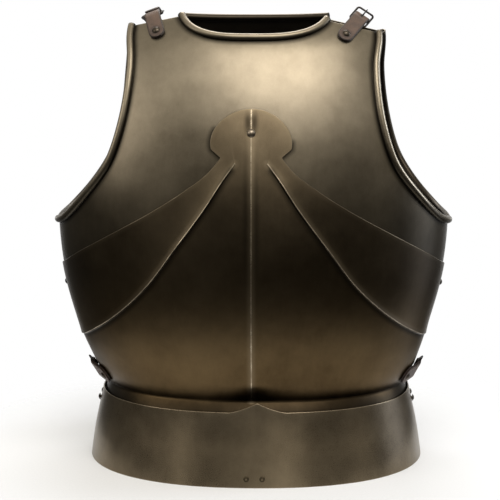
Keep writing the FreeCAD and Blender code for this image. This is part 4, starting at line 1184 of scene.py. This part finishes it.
def tongue(name, body, bar):
    """A ring round the bar and a round prong that tapers to its bent tip."""
    mesh = Mesh()
    base = frame_half_thickness + 0.2
    reach = frame_half_length + 0.5
    turn = np.radians(np.linspace(0, 360, 41))[:-1]
    middle = (tongue_bore + tongue_ring) / 2
    ring = np.stack([middle * np.cos(turn), 0 * turn, middle * np.sin(turn)], -1)
    sweep(mesh, ring, 0.86, 0.36, closed=True, turns=12, up=(0, 1, 0))
    x = np.linspace(0.3, reach - 0.15, 26)
    share = x / reach
    thick = 0.52 - 0.1 * share
    drop = np.where(x > reach - 2.6, ((x - reach + 2.6) / 2.6) ** 2 * 0.22, 0.0)
    z = base + 1.1 - thick - 0.02 - 0.1 * np.sin(share * math.pi) - drop
    sweep(mesh, np.stack([x, 0 * x, z], -1), thick, 0.86 - 0.3 * share, turns=14)
    made = in_place(mesh, bar).piece(name + "_prong", buckle_black, weld=0.005, sharp=60)
    take(made, body, "black_steel", name + "_tongue")


def slide(form, angle, height, tilt):
    """The upward way of a shoulder strap on the form, tilted outward as seen from the front."""
    n = form.normal(angle, height, False)
    sx, sz = math.copysign(1, angle) * math.sin(math.radians(tilt)), math.cos(math.radians(tilt))
    return np.array([sx, -(n[0] * sx + n[2] * sz) / n[1], sz])


side_out = plackart_out + sheet / 2
# Seats as (angle, height) and tilts of the shoulder straps; stages as (length, bend)
left_at, left_tilt = (-48.2, 436.8), 19.0
right_at, right_tilt = (46.4, 433.6), 42.0
side_angle, side_height = 72.0, 91.0
left_stages = ((20.0, 4.0), (10.0, 38.0))
right_stages = ((15.5, 0.0),)
side_stages = ((20.0, 2.0),)
left_seat = front.seat(*left_at, sheet / 2, slide(front, *left_at, left_tilt))
right_seat = front.seat(*right_at, sheet / 2, slide(front, *right_at, right_tilt))
side_left_seat, side_right_seat = [front_low.seat(s * side_angle, side_height, side_out) for s in (-1, 1)]
bars = {}
# Name, seat, width and stages, and the bodies of the strap, the frame and the tongue
for name, seat, width, stages, bodies in (
    ("shoulder_left", left_seat, shoulder_strap_width, left_stages, ("front", "front", "front")),
    ("shoulder_right", right_seat, shoulder_strap_width, right_stages,
     ("right_shoulder_strap", "right_shoulder_buckle", "right_shoulder_tongue")),
    ("side_left", side_left_seat, side_strap_width, side_stages, ("front", "front", "left_side_tongue")),
    ("side_right", side_right_seat, side_strap_width, side_stages, ("front", "front", "right_side_tongue")),
):
    bars[name] = folded(name, bodies[0], seat, width, stages)
    buckle(name, bodies[1], bars[name], width)
    tongue(name, bodies[2], bars[name])


def in_frame(place, points):
    across = place.to_3x3() @ Vector((0, 1, 0))
    return [(place @ Vector((x, 0, z)), across) for x, z in points]


def lying(place, stages, stops):
    points = []
    for run in stops:
        at = along_stages(stages, max(run, 0.0)) @ Vector((min(run, 0.0), 0, strap_seat + ply / 2))
        points.append((at.x, at.z))
    return in_frame(place, points)


outer_face = backplate_out + sheet / 2
billet_angle = 50.0
billet_height_left = 440.0
billet_height_right = 438.0
billet_stages = ((14.0, 3.0), (20.0, 44.0))
free_stage = (80.0, 6.0)
mid = ply / 2

# Left shoulder: forward into its buckle, under the far rail and over the bar
bar = bars["shoulder_left"]
bar_way = bar.to_3x3() @ Vector((1, 0, 0))
seat = back.seat(-billet_angle, billet_height_left, outer_face, np.array(bar_way * -1))
gap, turn_in, end_run = 0.15, 3.0, 14.0
over_loop = tongue_bore + ply + mid + gap
on_strap = strap_over_bar + 2 * ply + mid + gap
under_rail = -frame_half_thickness - mid - 0.5
turn_x = frame_half_length - frame_rod + 0.5
turn_z = under_rail + turn_in
lean_down = math.atan2(turn_z, turn_x) - math.asin((turn_in + over_loop) / math.hypot(turn_x, turn_z))
slab_down = math.atan2(on_strap - over_loop, loop_start)
buckled = [(turn_x + 4.0 * (3 - k) / 3, under_rail) for k in range(4)]
for k in range(1, 5):
    turn = lean_down * k / 4
    buckled.append((turn_x + turn_in * math.sin(turn), turn_z - turn_in * math.cos(turn)))
for k in range(5):
    turn = lean_down + (slab_down - lean_down) * k / 4
    buckled.append((-over_loop * math.sin(turn), over_loop * math.cos(turn)))
for k in range(1, 4):
    buckled.append((-loop_start * k / 4, over_loop + (on_strap + gap - over_loop) * k / 4))
buckled.append((-loop_start - turn_in / 2, on_strap + gap))
buckled += [(-(loop_start + turn_in / 2 + end_run) / 2, on_strap), (-end_run, on_strap)]
total = full_run(billet_stages)
lie = lying(seat, billet_stages, [-strap_tail, 0.0] + [total * k / 5 for k in range(1, 6)])
near = [(p, a * -1) for p, a in in_frame(bar, buckled)]
(start, start_across), (end, end_across) = lie[-1], near[0]
start_way = (start - lie[-2][0]).normalized()
span = (end - start).length
bridge = []
for k in range(1, 6):
    t = k / 6
    point = start * ((1 + 2 * t) * (1 - t) ** 2) + end * ((3 - 2 * t) * t * t)
    point += start_way * (span * t * (1 - t) ** 2) + bar_way * (span * t * t * (1 - t))
    bridge.append((point, start_across * (1 - t) + end_across * t))
points, across = smooth_path(lie + bridge + near, 420)
way = run_along(points)


def run_nearest(spot):
    return way[np.argmin(np.linalg.norm(points - np.array(spot), axis=1))]


at_bar, at_prong = run_nearest(bar.translation), run_nearest(bar @ Vector((turn_x + 1.0, 0, 0)))
slot = (min(at_prong, at_bar) + 1.5, max(at_prong, at_bar) + 0.6, 1.1)
mesh = leather_strip(points, across, shoulder_strap_width, slot, [at_bar + 7.3], seed=2.0)
left_billet = mesh.piece("shoulder_left_billet_leather", strap_brown, sharp=50)
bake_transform(left_billet)
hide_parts("shoulder_left_billet")

# Right shoulder: the billet hangs free
seat = back.seat(billet_angle, billet_height_right, outer_face, np.array((0.0, -1.0, 0.0)))
stages = billet_stages + (free_stage,)
total = full_run(stages)
points, across = smooth_path(
    lying(seat, stages, [-strap_tail, 0.0] + [total * k / 12 for k in range(1, 13)]), 300)
punched = [strap_tail + total - hole_pitch * k for k in (1, 2, 3)]
mesh = leather_strip(points, across, shoulder_strap_width, holes=punched, seed=4.0)
take(mesh.piece("shoulder_right_billet_leather", strap_brown, sharp=50), "back", "strap_leather",
     "shoulder_right_billet")

# Sides: each billet lies on the backplate's side, with its end on the front
side_billet_angles = (70.2, 73.5, 78.0, 83.0, 88.0)
side_billet_end = 87.3
for name, side in (("side_left", -1), ("side_right", 1)):
    spots = []
    stops = [(back, a, outer_face + strap_seat + mid) for a in side_billet_angles]
    for form, angle, out in stops + [(front_low, side_billet_end, side_out + 2 * strap_seat + mid)]:
        angle = side * angle
        up = form.radial(angle, side_height + probe) - form.radial(angle, side_height - probe)
        spots.append((form.point(angle, side_height, out), unit(up) * side))
    points, across = smooth_path(spots, 220)
    punched = [run_along(points)[-1] - hole_pitch * k for k in (1, 2, 3)]
    mesh = leather_strip(points, across, side_strap_width, holes=punched, seed=6.0 + side)
    made = mesh.piece(name + "_billet_leather", strap_brown, sharp=50)
    take(made, "back", "strap_leather", name + "_billet")

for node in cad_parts.values():
    metal = eyelet_dull if node.name == "fauld_eyelets" else None
    if "rivet" in node.name:
        metal = rivet_painted_highlight if node.name == "plackart_centre_rivet" else rivet_dull
    if metal:
        node.data.materials.clear()
        node.data.materials.append(metal)


# Stage

# The world's own colour, and the soft lights in it: turn from the front towards +X, half width,
# strength, colour, and the sines of the heights where each begins and ends
world_tint = (1.0, 0.95, 0.84)
soft_lights = (
    (14, 10, 1.1, (1.0, 0.96, 0.89), 0.3, 0.85),
    (11, 6, 1.3, (1.0, 0.96, 0.87), -0.1, 0.1),
    (-38, 8, 0.8, (1.0, 0.96, 0.87), -0.1, 0.1),
    (-40, 18, 0.75, (1.0, 0.96, 0.87), 0.3, 0.8),
    (62, 15, 0.35, (1.0, 0.96, 0.88), 0.0, 0.6),
    (104, 17, 0.9, (0.84, 0.92, 1.12), -0.45, 0.5),
)
floor_reach = 0.66
floor_fade = (0.2, 0.42)
# The camera: its focal length and the photo's width in pixels, turn and drop in degrees, metres away
focal_pixels, photo_pixels = 1428.6, 500
camera_turn, camera_down, camera_distance = 1.0, 8.0, 1.5
sensor = 36.0


def studio():
    """White to the camera all round; a soft studio for the metal, darker in front and below."""
    world = bpy.data.worlds.new("studio")
    bpy.context.scene.world = world
    p = Paint(world, "OutputWorld")

    def span(value, low, high, to_low=0.0, to_high=1.0):
        return p.span(value, low, high, to_low, to_high, True)

    way = p.node("TexCoord").outputs["Generated"]
    split = p.node("SeparateXYZ", None, Vector=way)
    height = split.outputs[2]
    low = span(height, -0.75, -0.1, 0.05, 0.08)
    mid = span(height, 0.0, 0.42, 0.0, 0.3)
    high = span(height, 0.35, 0.85, 0.0, 0.5)
    level = p.math("ADD", low, p.math("ADD", mid, high))
    level_way = p.vector("NORMALIZE", p.vector("MULTIPLY", way, (1, 1, 0))[0])[0]
    total = p.node("CombineColor")
    for socket, share in zip(total.inputs, world_tint):
        p.put(socket, p.math("MULTIPLY", level, share))
    sum_up = total.outputs[0]
    for turn, half, strength, tint, bottom, top in soft_lights:
        aim = (math.sin(math.radians(turn)), -math.cos(math.radians(turn)), 0)
        near = p.vector("DOT_PRODUCT", level_way, aim)["Value"]
        rim, core = math.cos(math.radians(half)), math.cos(math.radians(half * 0.25))
        above, below = span(height, bottom - 0.12, bottom + 0.12), span(height, top, top + 0.3, 1.0, 0.0)
        glow = p.math("MULTIPLY", span(near, rim, core, 0.0, strength), p.math("MULTIPLY", above, below))
        sum_up = p.vector("ADD", sum_up, p.vector("MULTIPLY", tint, glow)[0])[0]
    soft = p.node("Background", None, Color=sum_up)
    white = p.node("Background", None, Color=(1, 1, 1))
    # Reflections of what is straight behind the object are white too, as in the photo
    rays = p.node("LightPath").outputs
    behind = span(split.outputs[1], 0.8, 0.97)
    level_band = p.math("MULTIPLY", span(height, -0.6, -0.3), span(height, 0.25, 0.5, 1.0, 0.0))
    bounced = p.math("MAXIMUM", rays["Is Glossy Ray"], rays["Is Transmission Ray"])
    seen = p.math("MULTIPLY", bounced, p.math("MULTIPLY", behind, level_band))
    p.finish_mixed(p.math("MAXIMUM", rays["Is Camera Ray"], seen), soft, white)


studio()


def floor():
    """A pale round floor that fades into the white round it."""
    p = Paint(bpy.data.materials.new("floor_pale"))
    far = p.vector("LENGTH", p.node("TexCoord").outputs["Object"])["Value"]
    share = p.span(far, *floor_fade, 0.0, 1.0, True)
    paper = p.noise(500.0, 3.0, 0.6)
    colour = p.blend(p.span(paper, 0.3, 0.7), (0.79, 0.81, 0.85), (0.83, 0.85, 0.89))
    pale = p.node("BsdfDiffuse", None, Color=colour, Normal=p.bumps((paper, 0.0001, 0.3)))
    p.finish_mixed(share, pale, p.node("BsdfTransparent"))
    mesh = bpy.data.meshes.new("floor")
    disc = bmesh.new()
    bmesh.ops.create_circle(disc, cap_ends=True, cap_tris=True, segments=96, radius=floor_reach)
    disc.to_mesh(mesh)
    disc.free()
    mesh.materials.append(p.owner)
    made = bpy.data.objects.new("floor", mesh)
    bpy.context.scene.collection.objects.link(made)


floor()


def lamp(name, place, aim, size, power, colour):
    light = bpy.data.lights.new(name, "AREA")
    light.shape = "RECTANGLE"
    light.size, light.size_y = size
    light.energy = power
    light.color = colour
    made = bpy.data.objects.new(name, light)
    made.location = place
    made.rotation_euler = (Vector(aim) - Vector(place)).to_track_quat("-Z", "Y").to_euler()
    bpy.context.scene.collection.objects.link(made)


lamp("key_above", (0.25, -1.0, 1.55), (0.0, 0.0, 0.3), (1.1, 0.7), 14.0, (1.0, 0.96, 0.9))
lamp("fill_left", (-1.4, -0.7, 0.9), (0.0, 0.0, 0.25), (0.6, 0.9), 4.0, (1.0, 0.95, 0.88))
lamp("rim_right", (1.4, 0.25, 0.7), (0.0, 0.0, 0.25), (0.5, 0.9), 5.0, (0.88, 0.94, 1.0))
lamp("above_back", (0.0, 1.0, 1.5), (0.0, 0.0, 0.3), (1.0, 0.6), 10.0, (1.0, 0.98, 0.95))

view = bpy.data.cameras.new("camera")
view.sensor_width = sensor
view.lens = focal_pixels / photo_pixels * sensor
view.clip_start = 0.05
camera = bpy.data.objects.new("camera", view)
turn, down = math.radians(camera_turn), math.radians(camera_down)
target = Vector((-0.0036, origin_shift * MM, 0.212))
away = Vector((math.sin(turn) * math.cos(down), -math.cos(turn) * math.cos(down), math.sin(down)))
camera.location = target + camera_distance * away
camera.rotation_euler = (target - camera.location).to_track_quat("-Z", "Y").to_euler()
bpy.context.scene.collection.objects.link(camera)
bpy.context.scene.camera = camera
bpy.context.scene.view_settings.view_transform = "Standard"
